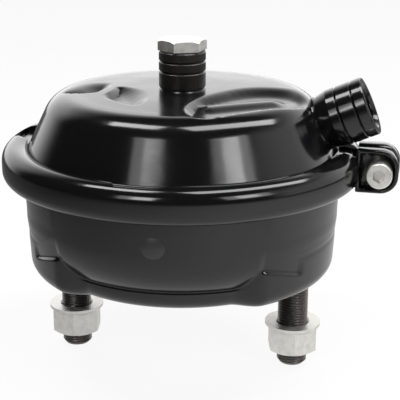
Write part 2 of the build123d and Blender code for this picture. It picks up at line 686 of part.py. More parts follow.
def make_top_port_boss():
    """Threaded boss welded on the crown."""
    with BuildPart() as top_port_boss:
        add(grooved_boss(BOSS_R, BOSS_R - BOSS_FOOT, BOSS_FOOT_H, BOSS_H, BOSS_GROOVES))
        revolve(axis=Axis.Z)
        with BuildSketch():
            Circle(BOSS_BORE_R)
        extrude(amount=BOSS_H, mode=Mode.SUBTRACT)
    return Pos(0, 0, CROWN_Z) * top_port_boss.part


def make_top_plug_seal():
    """Thin seal ring under the plug's head."""
    with BuildPart() as top_plug_seal:
        with BuildSketch(Plane.XY.offset(CROWN_Z + BOSS_H)):
            Circle(BOSS_R - PLUG_SEAL_INSET)
            Circle(BOSS_BORE_R, mode=Mode.SUBTRACT)
        extrude(amount=PLUG_SEAL_T)
    return top_plug_seal.part


def make_top_port_plug():
    """Hexagon-headed plug screwed into the top port boss."""
    seat_z = CROWN_Z + BOSS_H + PLUG_SEAL_T
    top_z = seat_z + PLUG_HEAD_H
    flat_r = PLUG_AF / 2
    corner_r = flat_r / cos(radians(30))
    with BuildPart() as top_port_plug:
        with BuildSketch(Plane.XY.offset(seat_z)):
            hexagon(PLUG_AF, PLUG_HEAD_TURN)
        extrude(amount=PLUG_HEAD_H)
        with BuildSketch(Plane.XZ):
            Polygon((0, seat_z), (corner_r, seat_z), (corner_r, top_z - PLUG_HEAD_EDGE_H),
                    (flat_r + PLUG_HEAD_FLAT, top_z), (0, top_z), align=None)
        revolve(axis=Axis.Z, mode=Mode.INTERSECT)
        with BuildSketch(Plane.XY.offset(seat_z)):
            Circle(BOSS_BORE_R - THREAD_GAP)
        extrude(amount=-PLUG_LENGTH)
        chamfer(top_port_plug.faces().sort_by(Axis.Z)[0].edges(), PLUG_TIP)
    return top_port_plug.part


def make_side_port_boss():
    """Large threaded boss welded on the upper shell's wall, tilted up."""
    length = PORT_LENGTH + PORT_CONE
    grooves = [length - depth for depth in reversed(PORT_GROOVES)]
    with BuildPart() as turned:
        add(grooved_boss(PORT_R, PORT_FOOT_R, PORT_CONE, length, grooves))
        revolve(axis=Axis.Z)
        with BuildSketch():
            Circle(PORT_THROAT_R)
        extrude(amount=length, mode=Mode.SUBTRACT)
        with BuildSketch(Plane.XZ):
            floor_z = length - PORT_BORE_DEPTH
            Polygon((0, floor_z), (PORT_BORE_R, floor_z), (PORT_BORE_R, length - PORT_CHAMFER),
                    (PORT_BORE_R + PORT_CHAMFER, length), (0, length), align=None)
        revolve(axis=Axis.Z, mode=Mode.SUBTRACT)
    placed = port_plane(length).location * turned.part
    with BuildPart() as side_port_boss:
        add(placed)
        add(dome_solid(0, HIGH_FLANGE_Z, CROWN_Z), mode=Mode.SUBTRACT)
    return side_port_boss.part


def make_vent_plug(azimuth):
    """Domed plug pressed into a hole in the lower shell's wall."""
    face_r = SHELL_R + VENT_CROWN
    edge_r = SHELL_R - VENT_EDGE_DEPTH
    flange_r = VENT_R + VENT_LIP
    lip_r = sqrt((SHELL_R - WALL) ** 2 - flange_r**2) - VENT_LIP_GAP
    rise = face_r - edge_r
    dome_r = (VENT_R**2 + rise**2) / (2 * rise)
    half_z = face_r - lip_r - dome_r + sqrt(dome_r**2 - (VENT_R / 2) ** 2)
    with BuildPart() as plug:
        with BuildSketch(Plane.XZ):
            with BuildLine():
                Polyline((0, face_r - lip_r), (0, -VENT_LIP_T), (flange_r - VENT_LIP_EDGE, -VENT_LIP_T),
                         (flange_r, 0), (VENT_R, 0), (VENT_R, edge_r - lip_r))
                ThreePointArc((VENT_R, edge_r - lip_r), (VENT_R / 2, half_z), (0, face_r - lip_r))
            make_face()
        revolve(axis=Axis.Z)
    return radial_plane(azimuth, lip_r, VENT_Z).location * plug.part


def make_diaphragm():
    """Rubber cup with its bead clamped between the two flanges."""
    with BuildPart() as diaphragm:
        add(dome_solid(WALL + RUBBER_GAP, LOW_FLANGE_TOP, RUBBER_TOP_Z))
        with BuildSketch(Plane.XY.offset(LOW_FLANGE_TOP)):
            Circle(FLANGE_R - BEAD_INSET)
        extrude(amount=BEAD_T)
        inside = dome_solid(WALL + RUBBER_GAP + RUBBER_T, LOW_FLANGE_TOP, RUBBER_TOP_Z - RUBBER_T)
        add(inside, mode=Mode.SUBTRACT)
    return diaphragm.part


def make_pressure_plate():
    """Pressed disc with a rolled edge, under the diaphragm."""
    edge_z = PLATE_Z - PLATE_EDGE_R
    with BuildPart() as pressure_plate:
        with BuildSketch(Plane.XZ) as section:
            Polygon((0, PLATE_TOP_Z), (PLATE_R, PLATE_TOP_Z), (PLATE_R, edge_z), (PLATE_R - PLATE_T, edge_z),
                    (PLATE_R - PLATE_T, PLATE_Z), (0, PLATE_Z), align=None)
            fillet(nearest(section, PLATE_R, PLATE_TOP_Z), PLATE_EDGE_R)
            fillet(nearest(section, PLATE_R - PLATE_T, PLATE_Z), PLATE_EDGE_R - PLATE_T)
        revolve(axis=Axis.Z)
    return pressure_plate.part


def make_push_rod():
    """Push rod with a rounded end and a collar welded to the plate."""
    end_z = ROD_TIP_Z + ROD_R
    collar_z = PLATE_Z - ROD_COLLAR_H
    middle = (ROD_R * sin(radians(45)), end_z - ROD_R * cos(radians(45)))
    with BuildPart() as push_rod:
        with BuildSketch(Plane.XZ):
            with BuildLine():
                Polyline((0, ROD_TIP_Z), (0, PLATE_Z), (ROD_COLLAR_R, PLATE_Z),
                         (ROD_COLLAR_R - ROD_COLLAR_EDGE, collar_z), (ROD_R, collar_z), (ROD_R, end_z))
                ThreePointArc((ROD_R, end_z), middle, (0, ROD_TIP_Z))
            make_face()
        revolve(axis=Axis.Z)
    return push_rod.part


def make_return_spring():
    """Conical coil spring whose turns nest when it is closed."""
    foot_z = SEAT_TOP_Z + SPRING_WIRE_R
    height = PLATE_Z - SPRING_WIRE_R - foot_z
    steps = int(SPRING_TURNS * SPRING_POINTS)
    centres = []
    for step in range(steps + 1):
        share = step / steps
        radius = SPRING_FOOT_R + (SPRING_HEAD_R - SPRING_FOOT_R) * share
        centres.append((*polar(radius, 360 * SPRING_TURNS * share), foot_z + height * share))
    with BuildPart() as return_spring:
        with BuildLine() as coil:
            Spline(*centres)
        with BuildSketch(Plane(origin=coil.line @ 0, z_dir=coil.line % 0)):
            RegularPolygon(SPRING_WIRE_R, SPRING_SIDES)
        sweep(is_frenet=True)
    return return_spring.part


def make_spring_seat():
    """Pressed ring that centres the spring's foot on the floor."""
    with BuildPart() as spring_seat:
        with BuildSketch(Plane.XZ):
            rim_z = INNER_FLOOR_Z + SEAT_RIM_H
            Polygon((STUD_PLATE_R, INNER_FLOOR_Z), (SEAT_R, INNER_FLOOR_Z), (SEAT_R, rim_z),
                    (SEAT_R - SEAT_T, rim_z), (SEAT_R - SEAT_T, SEAT_TOP_Z), (STUD_PLATE_R, SEAT_TOP_Z), align=None)
        revolve(axis=Axis.Z)
    return spring_seat.part


def make_gaiter():
    """Rubber bellows from the floor to the push rod."""
    neck_r = ROD_R + GAITER_ROD_GAP
    fold_low_z = BASE_FLOOR + GAITER_FOOT_T
    fold_h = (GAITER_TOP_Z - GAITER_NECK_H - fold_low_z) / GAITER_FOLDS
    outer = [(GAITER_OUTER_R, fold_low_z)]
    for fold in range(GAITER_FOLDS):
        low_z = fold_low_z + fold * fold_h
        outer += [(GAITER_OUTER_R, low_z + fold_h / 4), (GAITER_INNER_R, low_z + fold_h * 3 / 4)]
    outer += [(neck_r + GAITER_SKIN, GAITER_TOP_Z - GAITER_NECK_H), (neck_r + GAITER_SKIN, GAITER_TOP_Z)]
    inner = [(r - GAITER_SKIN, z) for r, z in reversed(outer[:-1])]
    foot = [(GAITER_OUTER_R - GAITER_SKIN, BASE_FLOOR), (GAITER_FOOT_R, BASE_FLOOR), (GAITER_FOOT_R, fold_low_z)]
    with BuildPart() as gaiter:
        with BuildSketch(Plane.XZ):
            Polygon(*outer, (neck_r, GAITER_TOP_Z), *inner, *foot, align=None)
        revolve(axis=Axis.Z)
    return gaiter.part


def make_gaiter_clip():
    """Ring that holds the gaiter's neck on the push rod."""
    inner_r = ROD_R + GAITER_ROD_GAP + GAITER_SKIN
    with BuildPart() as gaiter_clip:
        with BuildSketch(Plane.XY.offset(GAITER_TOP_Z - (GAITER_NECK_H + CLIP_H) / 2)):
            Circle(inner_r + CLIP_T)
            Circle(inner_r, mode=Mode.SUBTRACT)
        extrude(amount=CLIP_H)
    return gaiter_clip.part


def make_gaiter_retainer():
    """Ring that holds the gaiter's foot on the floor."""
    low_z = BASE_FLOOR + GAITER_FOOT_T
    with BuildPart() as gaiter_retainer:
        with BuildSketch(Plane.XY.offset(low_z)):
            Circle(RETAINER_R)
            Circle(RETAINER_BORE_R, mode=Mode.SUBTRACT)
        extrude(amount=RETAINER_T)
    return gaiter_retainer.part


def make_base_seal():
    """Rubber ring in the groove of the mounting face."""
    with BuildPart() as base_seal:
        with BuildSketch(Plane.XY.offset(SEAL_GAP)):
            Circle(SEAL_OUTER_R - SEAL_GAP)
            Circle(SEAL_INNER_R + SEAL_GAP, mode=Mode.SUBTRACT)
        extrude(amount=SEAL_DEPTH - SEAL_GAP)
    return base_seal.part


pieces = {
    "mounting_housing": make_mounting_housing(),
    "pressure_housing": make_pressure_housing(),
    "clamp_ring": make_clamp_ring(),
    "clamp_screw": make_clamp_screw(),
    "clamp_washer": make_clamp_washer(),
    "clamp_nut": make_clamp_nut(),
    "right_stud": make_stud(STUD_X),
    "left_stud": make_stud(-STUD_X),
    "right_flange_nut": make_flange_nut(STUD_X, NUT_TURNS["right"]),
    "left_flange_nut": make_flange_nut(-STUD_X, NUT_TURNS["left"]),
    "stud_plate": make_stud_plate(),
    "top_port_boss": make_top_port_boss(),
    "top_plug_seal": make_top_plug_seal(),
    "top_port_plug": make_top_port_plug(),
    "side_port_boss": make_side_port_boss(),
    "front_vent_plug": make_vent_plug(VENT_AZIMUTHS["front"]),
    "rear_vent_plug": make_vent_plug(VENT_AZIMUTHS["rear"]),
    "diaphragm": make_diaphragm(),
    "pressure_plate": make_pressure_plate(),
    "push_rod": make_push_rod(),
    "return_spring": make_return_spring(),
    "spring_seat": make_spring_seat(),
    "gaiter": make_gaiter(),
    "gaiter_clip": make_gaiter_clip(),
    "gaiter_retainer": make_gaiter_retainer(),
    "base_seal": make_base_seal(),
}

os.makedirs("parts", exist_ok=True)
for node, solid in pieces.items():
    solid.label = node
    export_step(solid, f"parts/{node}.step")
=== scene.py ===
"""Finish of an air brake chamber: gloss paint, zinc plate and dark studs, in a plain studio."""
import json
import math

import bpy
from mathutils import Matrix, Vector


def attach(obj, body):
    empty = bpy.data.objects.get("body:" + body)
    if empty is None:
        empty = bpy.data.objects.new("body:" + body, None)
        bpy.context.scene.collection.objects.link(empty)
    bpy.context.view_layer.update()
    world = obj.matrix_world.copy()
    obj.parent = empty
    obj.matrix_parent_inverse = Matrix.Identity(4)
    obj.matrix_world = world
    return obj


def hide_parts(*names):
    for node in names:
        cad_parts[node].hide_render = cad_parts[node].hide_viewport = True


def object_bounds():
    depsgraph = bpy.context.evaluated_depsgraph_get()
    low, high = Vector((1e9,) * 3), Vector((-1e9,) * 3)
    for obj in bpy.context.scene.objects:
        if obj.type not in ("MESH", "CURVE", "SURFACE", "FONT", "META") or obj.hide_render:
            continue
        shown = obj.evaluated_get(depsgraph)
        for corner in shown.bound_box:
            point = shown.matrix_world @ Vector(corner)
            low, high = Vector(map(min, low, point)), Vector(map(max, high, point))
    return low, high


bl_info = {
    "name": "Air Brake Chamber",
    "version": (1, 0, 0),
    "blender": (4, 5, 0),
    "location": "View3D > Sidebar > Brake Chamber",
    "description": "Dresses a diaphragm brake chamber with its finishes and fine details",
    "category": "Object",
}

MM = 0.001
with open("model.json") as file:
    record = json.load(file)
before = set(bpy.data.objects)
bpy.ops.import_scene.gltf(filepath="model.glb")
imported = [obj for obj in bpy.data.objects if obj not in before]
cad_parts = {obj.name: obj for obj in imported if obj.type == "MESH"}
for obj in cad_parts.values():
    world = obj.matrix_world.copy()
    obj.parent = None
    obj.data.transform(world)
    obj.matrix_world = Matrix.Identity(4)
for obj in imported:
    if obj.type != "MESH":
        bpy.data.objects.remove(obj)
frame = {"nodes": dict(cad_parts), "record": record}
CAD_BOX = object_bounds()


# Studio: azimuths are degrees round the object, 0 in front and 90 to the right.
BOX_DISTANCE = 1.2
BOX_TARGET = (0, 0, 0.06)
BOXES = (  # name, azimuth, elevation, turn about its axis, size in metres and radiance
    ("left_box", -16.0, 29, 0, (0.46, 0.44), 2.8),
    ("left_core", -12.2, 29.5, 0, (0.25, 0.34), 8.0),
    ("left_strip", -76.2, 68.2, 52.6, (0.58, 0.30), 11.0),
    ("right_box", 53.9, 29, 0, (0.59, 0.44), 3.2),
    ("right_core", 54.2, 29.5, 0, (0.265, 0.34), 6.4),
    ("right_strip", 104.0, 67, 123.8, (1.10, 0.36), 9.0),
)
BACKDROP_AZIMUTH = 159.0  # middle of the bright half
BACKDROP_EDGE = (-0.05, 0.2)  # where it fades in, as cosines
SIDE_RADIANCE = 0.9
BACK_AZIMUTH = 186.0
BACK_EDGE = (0.3, 0.9)
BACK_RADIANCE = 1.0
BACKDROP_TOP = (0.45, 0.75)  # sines of the elevations where it fades out
DARK_RADIANCE = 0.02
FLOOR_WHITE = 0.9  # share of plain white that the camera sees in the floor
FLOOR_GLOW = (0.30, -0.15, 0.0)  # middle of the painted pool of light on the floor, which only reflections see
FLOOR_GLOW_REACH = (0.15, 0.75)
FLOOR_GLOW_RADIANCE = (1.05, 0.15)
FLOOR_SIZE = 6
SENSOR_WIDTH = 36
CLIP_START = 0.01

# Finishes, in metres
DUST_ROUGHNESS = 0.09  # what settled dust adds to the crown's roughness
DUST_RADII = (0.050, 0.060)  # where it thins out from the crown's middle
DUST_HEIGHTS = (0.084, 0.088)  # where it starts, going up
PAINT_SPREAD = (0.85, 1.2)  # least and most roughness, as shares
WAVE_SHARE = 5.0  # height of the paint's waves against its orange peel
PAINT_RELIEF = 0.000012
TARNISH = 0.82  # brightness of tarnished zinc, as a share
BLOOM = 1.7  # brightness of bloomed rubber, as a share
STUD_EDGE_RAGGED = 0.0016
STUD_EDGE_FADE = (0.0002, 0.0008)  # below and above the paint's edge

# Upper shell, in millimetres
WALL = 3.0
FLANGE_TOP_Z = 64.4
FLANGE_R = 88.5
FOOT_R = 80.0
FOOT_BEND_R = 1.2
WALL_LEAN = 26.2  # degrees
CROWN_Z = 93.8
CROWN_DROP = 0.9  # how far the crown falls to the shoulder
CROWN_DOME_R = 30.0  # where it starts to fall
CROWN_EDGE_R = 62.0  # where it ends
CEILING_R = 48
CEILING_STEP = 4
SHOULDER_STEPS = 14
FLANGE_EDGE = 0.5
SHOULDER_R = 15.0
CROWN_STEP = 1.0
SHELL_STEPS = 240
RECESS_DEPTH = 3.6
RECESSES = (  # outlines in plan: x, y and the width of the slope down from there
    ((10, -27, 5), (9, -48, 5), (22, -61, 4), (43, -38, 4), (64, -19, 4), (68, 0, 7),
     (58, 17, 15), (43, 19, 15), (26, 9, 14), (14, -12, 10)),
    ((-59, -10, 14), (-54, 5, 18), (-45, 10, 18), (-37, 6, 12), (-39, -8, 3), (-41, -19, 3), (-60, -20, 3)),
    ((-35, 2, 8), (-34, -12, 3), (-36, -24, 3), (-28, -33, 3), (-14, -44, 4), (-10, -34, 8),
     (-11, -22, 10), (-18, -6, 14)),
)
RIDGE = ((20, -30), (47, -9))  # raised fold in the largest recess
RIDGE_H = 1.9
RIDGE_HALF = 9.0
PORT_LEAN = 23.5
PORT_MOUTH = (96.0, 0.0, 90.0)
PORT_LENGTH = 28.7
PORT_STRAIGHT = 18.7
PORT_R = 15.0
PORT_FOOT_R = 12.5
PORT_THROAT_R = 6.0
BOSS_FOOT_R = 10.9
WELD_R = 1.1
WELD_POINTS = 72
WELD_SEARCH = 8  # how far past the cone its meeting with the wall is looked for
WELD_SEARCH_STEP = 0.1

# Lower shell, in millimetres
LOWER_R = 81.4
LOWER_CORNER_R = 26.8
LOWER_CORNER_TOP = 31.0
LOWER_FLANGE = (54.5, 57.5)  # underside and top
LOWER_BEND_R = 2.0
OPENING_R = 26.0
SEAL_GROOVE = (32.0, 36.0, 2.0)  # inner and outer radius, depth
FLOOR_T = 4.0
BASE_RADII = (79.6, 71.6)  # round the studs, and in front and behind
BASE_SPREAD = (49.0, 60.0)  # degrees from the X axis where one turns into the other
BASE_TURN = 2.3
BASE_DRAFT = 3.0
BASE_EDGE_R = 7.5
BASE_TOP_Z = 26.0
BASE_STEP = 0.4
LOWER_STEPS = 360
POCKET_R = 67.0
POCKET_STEP = 6  # height of the pocket's wall over the floor
INNER_CORNER_TURN = 58  # degrees of the inner corner's arc
FACE_STEPS = 8
LOWER_WALL_ROWS_END = 52
FOLD_DEPTH = 0.4  # crease under the corner where the base begins
FOLD_WIDTH = 0.6
FOLD_DROP = 0.6
FOLD_FADE = 6  # height over which it dies out
DENT_AZIMUTH = 48.0
DENT_FLOOR_R = 78.8
DENT_LEAN = 14.0
DENT_Z = 19.2
DENT_SLOPE = 15.5
DENT_SIDES = (-5.0, 20.0, 12.0)  # reach away from the X axis, towards it, and up
DENT_SOFT = 3.0
DENT_LEDGE_SOFT = 2.4

# Clamp ring and its ears, in millimetres
RING_R = 93.0
RING_TOP_Z = 67.3
RING_BOTTOM_Z = 49.3
RING_SHOULDER_R = 7.5
RING_TUCK_R = 5.5
RING_LIP = (80.8, 66.3, 64.5)  # radius, top and underside of the inner lip
RING_LOW_LIP = (83.6, 52.0, 54.4)  # radius, underside and top of the lower lip
RING_BORE_R = 91.1
RING_LIP_EDGE = 0.4
RING_LIP_RISE = (2.5, 0.7)  # out and up to the shoulder
RING_LOW_BEND = (1.2, 2.4, 3.6)  # in from the bore, and its two heights over the bottom
RING_HIGH_BEND = (2.2, 2.6)  # in from the bore, and down from the lip
RING_STEPS = 360
NOTCH_R = 88.8
NOTCHES = (-91.0, 90.0, 180.0)  # azimuths from the X axis
NOTCH_HALF = 6.75  # degrees
NOTCH_LEAN = 3.4
MOUTH_HALF = 5.0
MOUTH_R = 90.9
EAR_ENDS = (90.7, 111.8)
EAR_Z = 58.3
EAR_HALF = 11.1
EAR_CORNER_R = 9.0
EAR_RIM_TIP = 9.9
EAR_CURVE = 5  # steps of its round edges
EAR_T = 3.0
EAR_BEND_R = 3.0
EAR_TIP_R = 1.0
EAR_PAN = (4.4, 5.4, 2.4)  # inset, depth and radius of the pan's corner
EAR_ROOT_R = 1
EAR_ARC = 11
EAR_GAP = 3.0
SCREW_PLACE = (102.5, 57.4)
SCREW_HOLE_R = 4.4

# Studs and threads, in millimetres
STUD_X = 60.325
STUD_R = 8.0
STUD_TIP_Z = -52.5
STUD_BARE_Z = -22.6  # the paint ends here, above the nuts
STUD_TIP = 1.6
STUD_NECK_R = 8.6
STUD_HEAD = (12.0, 7.0, 12.0)  # radius, underside and top
THREAD_PITCH = 1.5
THREAD_DEPTH = 0.75
THREAD_ROWS = 6  # rows of faces in one pitch
THREAD_TOP_Z = -1.5
STUD_STEPS = 48
BORE_R = 10.25
BORE_PITCH = 1.5
BORE_THREAD_DEPTH = 0.7
BORE_THREADS = (1.6, 13.6)  # from the mouth
BORE_CREST = BORE_THREAD_DEPTH / 3  # how far its crests stand into the bore
BORE_BACK = 0.9
STUD_HEAD_EDGE = 1
BORE_STEPS = 72

# ---------------------------------------------------------------- settings


class ChamberFinish(bpy.types.PropertyGroup):
    """Colours of the finishes and the paint's roughness."""

    paint: bpy.props.FloatVectorProperty(
        name="Paint", description="Colour of the shells and the clamp ring", subtype="COLOR", size=3,
        default=(0.0045, 0.0045, 0.005), min=0, max=1,
    )
    paint_roughness: bpy.props.FloatProperty(
        name="Paint Roughness", description="Blur of the paint's reflections", default=0.13, min=0, max=1,
    )
    zinc: bpy.props.FloatVectorProperty(
        name="Zinc", description="Colour of the plated nuts and screw", subtype="COLOR", size=3,
        default=(0.82, 0.81, 0.77), min=0, max=1,
    )
    phosphate: bpy.props.FloatVectorProperty(
        name="Phosphate", description="Colour of the bare part of the studs", subtype="COLOR", size=3,
        default=(0.42, 0.385, 0.34), min=0, max=1,
    )
    rubber: bpy.props.FloatVectorProperty(
        name="Rubber", description="Colour of the rubber pieces", subtype="COLOR", size=3,
        default=(0.022, 0.022, 0.023), min=0, max=1,
    )


class ChamberStage(bpy.types.PropertyGroup):
    """Camera and studio."""

    azimuth: bpy.props.FloatProperty(
        name="Azimuth", description="Camera's angle round the object", subtype="ANGLE",
        default=math.radians(11.767),
    )
    elevation: bpy.props.FloatProperty(
        name="Elevation", description="Camera's angle above the horizon", subtype="ANGLE",
        default=math.radians(17.378),
    )
    roll: bpy.props.FloatProperty(
        name="Roll", description="Camera's turn about its own axis", subtype="ANGLE",
        default=math.radians(0.252),
    )
    distance: bpy.props.FloatProperty(
        name="Distance", description="Camera's distance from the point that it looks at", subtype="DISTANCE",
        default=0.5858, min=0.05,
    )
    aim: bpy.props.FloatVectorProperty(
        name="Aim", description="Point that the camera looks at", subtype="TRANSLATION", size=3,
        default=(0.0091, 0.0019, 0.0341),
    )
    lens: bpy.props.FloatProperty(
        name="Lens", description="Focal length in millimetres on a 36 mm sensor", default=99.65, min=10,
    )
    floor_gap: bpy.props.FloatProperty(
        name="Floor Gap", description="Space between the studs' tips and the floor", subtype="DISTANCE",
        default=0.0, min=0,
    )


# ---------------------------------------------------------------- helpers


def new_material(name):
    """An empty material and its node tree's Principled shader."""
    material = bpy.data.materials.new(name)
    material.use_nodes = True
    shader = material.node_tree.nodes["Principled BSDF"]
    return material, material.node_tree, shader


def add_node(tree, kind, **values):
    """A node with its named inputs or properties set."""
    node = tree.nodes.new(kind)
    for key, value in values.items():
        if key in node.inputs:
            node.inputs[key].default_value = value
        else:
            setattr(node, key, value)
    return node


def object_noise(tree, scale, detail=3.0):
    """Noise on Object coordinates, which are metres here."""
    place = tree.nodes.new("ShaderNodeTexCoord")
    texture = add_node(tree, "ShaderNodeTexNoise", Scale=scale, Detail=detail)
    tree.links.new(place.outputs["Object"], texture.inputs["Vector"])
    return texture


def ramp(tree, source, low, high, low_value, high_value):
    """Maps a source's range onto another range of values."""
    node = add_node(tree, "ShaderNodeMapRange")
    node.inputs["From Min"].default_value = low
    node.inputs["From Max"].default_value = high
    node.inputs["To Min"].default_value = low_value
    node.inputs["To Max"].default_value = high_value
    tree.links.new(source, node.inputs["Value"])
    return node.outputs["Result"]


def combine(tree, operation, *values):
    """A Math node on sockets or numbers."""
    node = add_node(tree, "ShaderNodeMath", operation=operation)
    for slot, value in zip(node.inputs, values):
        if isinstance(value, (int, float)):
            slot.default_value = value
        else:
            tree.links.new(value, slot)
    return node.outputs[0]


def bump(tree, shader, source, distance, strength=1.0):
    """Bump of a real depth from a texture's output."""
    node = add_node(tree, "ShaderNodeBump", Strength=strength, Distance=distance)
    tree.links.new(source, node.inputs["Height"])
    tree.links.new(node.outputs["Normal"], shader.inputs["Normal"])
    return node


def mixed_colour(tree, shader, share, first, second):
    """Base colour that runs from one colour to another with a share."""
    colour = add_node(tree, "ShaderNodeMixRGB")
    colour.inputs["Color1"].default_value = (*first, 1)
    colour.inputs["Color2"].default_value = (*second, 1)
    tree.links.new(share, colour.inputs["Fac"])
    tree.links.new(colour.outputs["Color"], shader.inputs["Base Color"])


def dress(node, material):
    """Gives a CAD node one material."""
    slots = frame["nodes"][node].material_slots
    if not slots:
        frame["nodes"][node].data.materials.append(material)
    for slot in frame["nodes"][node].material_slots:
        slot.material = material


def select_none():
    """Nothing is selected, so that an operator acts on the new piece alone."""
    if bpy.context.object and bpy.context.object.mode != "OBJECT":
        bpy.ops.object.mode_set(mode="OBJECT")
    bpy.ops.object.select_all(action="DESELECT")


def settle(piece):
    """Puts a piece's place into its mesh."""
    bpy.ops.object.select_all(action="DESELECT")
    piece.select_set(True)
    bpy.context.view_layer.objects.active = piece
    bpy.ops.object.transform_apply(location=True, rotation=True, scale=True)


def finish_piece(piece, material, node=None, body="housing", angle=35):
    """Gives a piece its material and its body, and hides the CAD node that it stands for."""
    settle(piece)
    bpy.ops.object.shade_smooth_by_angle(angle=math.radians(angle), keep_sharp_edges=False)
    piece.data.materials.clear()
    piece.data.materials.append(material)
    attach(piece, body)
    if node:
        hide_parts(node)


def spun(name, section, steps, angle=360):
    """Turned piece: a ring of vertices laid on a section, in millimetres, and spun round Z."""
    select_none()
    bpy.ops.mesh.primitive_circle_add(vertices=len(section), radius=MM)
    piece = bpy.context.object
    piece.name = name
    for vertex, (r, z) in zip(piece.data.vertices, section):
        vertex.co = (r * MM, 0, z * MM)
    bpy.ops.object.mode_set(mode="EDIT")
    bpy.ops.mesh.select_all(action="SELECT")
    bpy.ops.mesh.spin(steps=steps, angle=math.radians(angle), center=(0, 0, 0), axis=(0, 0, 1))
    bpy.ops.mesh.select_all(action="SELECT")
    bpy.ops.mesh.remove_doubles(threshold=0.00001)
    bpy.ops.mesh.dissolve_degenerate(threshold=0.00001)
    bpy.ops.mesh.select_all(action="SELECT")
    bpy.ops.mesh.fill_holes(sides=0)
    bpy.ops.mesh.select_all(action="SELECT")
    bpy.ops.mesh.normals_make_consistent(inside=False)
    bpy.ops.object.mode_set(mode="OBJECT")
    return piece


def arc(centre, radius, start, end, count):
    """Points of an arc in a section, angles in degrees."""
    points = []
    for step in range(count + 1):
        turn = math.radians(start + (end - start) * step / count)
        points.append((centre[0] + radius * math.cos(turn), centre[1] + radius * math.sin(turn)))
    return points


def cut(piece, cutter):
    """Takes a closed cutter away from a piece."""
    select_none()
    bpy.context.view_layer.objects.active = piece
    piece.select_set(True)
    boolean = piece.modifiers.new("cut", "BOOLEAN")
    boolean.object = cutter
    boolean.operation = "DIFFERENCE"
    boolean.solver = "EXACT"
    bpy.ops.object.modifier_apply(modifier=boolean.name)
    bpy.data.objects.remove(cutter)


def smooth_corners(points, rounds):
    """Cuts an outline's corners again and again, until it is a curve."""
    for _ in range(rounds):
        cut_points = []
        for index, here in enumerate(points):
            there = points[(index + 1) % len(points)]
            for share in (0.25, 0.75):
                cut_points.append(tuple(a + (b - a) * share for a, b in zip(here, there)))
        points = cut_points
    return points


def sunk(x, y, outline):
    """Share of a recess's depth at a plan point: 0 outside, 1 beyond the slopes of its outline."""
    inside = False
    depth = 1.0
    for index, (ax, ay, soft) in enumerate(outline):
        bx, by, next_soft = outline[(index + 1) % len(outline)]
        if (ay > y) != (by > y) and x < (bx - ax) * (y - ay) / (by - ay) + ax:
            inside = not inside
        distance, share = line_distance(x, y, (ax, ay), (bx, by))
        depth = min(depth, ease(distance / (soft + (next_soft - soft) * share)))
    return depth if inside else 0.0


def line_distance(x, y, start, end):
    """Distance from a plan point to a line between two points, and how far along it lies."""
    dx, dy = end[0] - start[0], end[1] - start[1]
    share = ((x - start[0]) * dx + (y - start[1]) * dy) / (dx * dx + dy * dy)
    share = min(1, max(0, share))
    return math.hypot(x - start[0] - share * dx, y - start[1] - share * dy), share


def ease(value):
    """Smooth step from 0 to 1."""
    value = min(1, max(0, value))
    return value * value * (3 - 2 * value)


def bead(name, points, radius, cyclic=True):
    """Round bead along points, in millimetres, as a closed mesh."""
    select_none()
    curve = bpy.data.curves.new(name, "CURVE")
    curve.dimensions = "3D"
    curve.bevel_depth = radius * MM
    curve.bevel_resolution = 3
    curve.use_fill_caps = not cyclic
    line = curve.splines.new("POLY")
    line.points.add(len(points) - 1)
    line.use_cyclic_u = cyclic
    for point, place in zip(line.points, points):
        point.co = (*[v * MM for v in place], 1)
    piece = bpy.data.objects.new(name, curve)
    bpy.context.scene.collection.objects.link(piece)
    bpy.context.view_layer.objects.active = piece
    piece.select_set(True)
    bpy.ops.object.convert(target="MESH")
    return bpy.context.object


# ---------------------------------------------------------------- finishes


def gloss_paint(finish):
    """Black gloss paint with faint orange peel, duller on top where spray dust settled."""
    material, tree, shader = new_material("gloss_paint")
    place = tree.nodes.new("ShaderNodeTexCoord")
    split = tree.nodes.new("ShaderNodeSeparateXYZ")
    tree.links.new(place.outputs["Object"], split.inputs["Vector"])
    level = add_node(tree, "ShaderNodeVectorMath", operation="MULTIPLY")
    tree.links.new(place.outputs["Object"], level.inputs[0])
    level.inputs[1].default_value = (1, 1, 0)
    reach = add_node(tree, "ShaderNodeVectorMath", operation="LENGTH")
    tree.links.new(level.outputs["Vector"], reach.inputs[0])
    middle = ramp(tree, reach.outputs["Value"], *DUST_RADII, DUST_ROUGHNESS, 0.0)
    dust = combine(tree, "MULTIPLY", middle, ramp(tree, split.outputs["Z"], *DUST_HEIGHTS, 0.0, 1.0))
    peel = object_noise(tree, 220.0, 2.0)
    waves = object_noise(tree, 34.0, 2.0)
    blotch = object_noise(tree, 60.0, 4.0)
    shader.inputs["Base Color"].default_value = (*finish.paint, 1)
    least, most = (finish.paint_roughness * share for share in PAINT_SPREAD)
    rough = ramp(tree, blotch.outputs["Fac"], 0.35, 0.7, least, most)
    tree.links.new(combine(tree, "ADD", rough, dust), shader.inputs["Roughness"])
    both = combine(tree, "MULTIPLY_ADD", waves.outputs["Fac"], WAVE_SHARE, peel.outputs["Fac"])
    bump(tree, shader, both, PAINT_RELIEF)
    shader.inputs["IOR"].default_value = 1.5
    return material


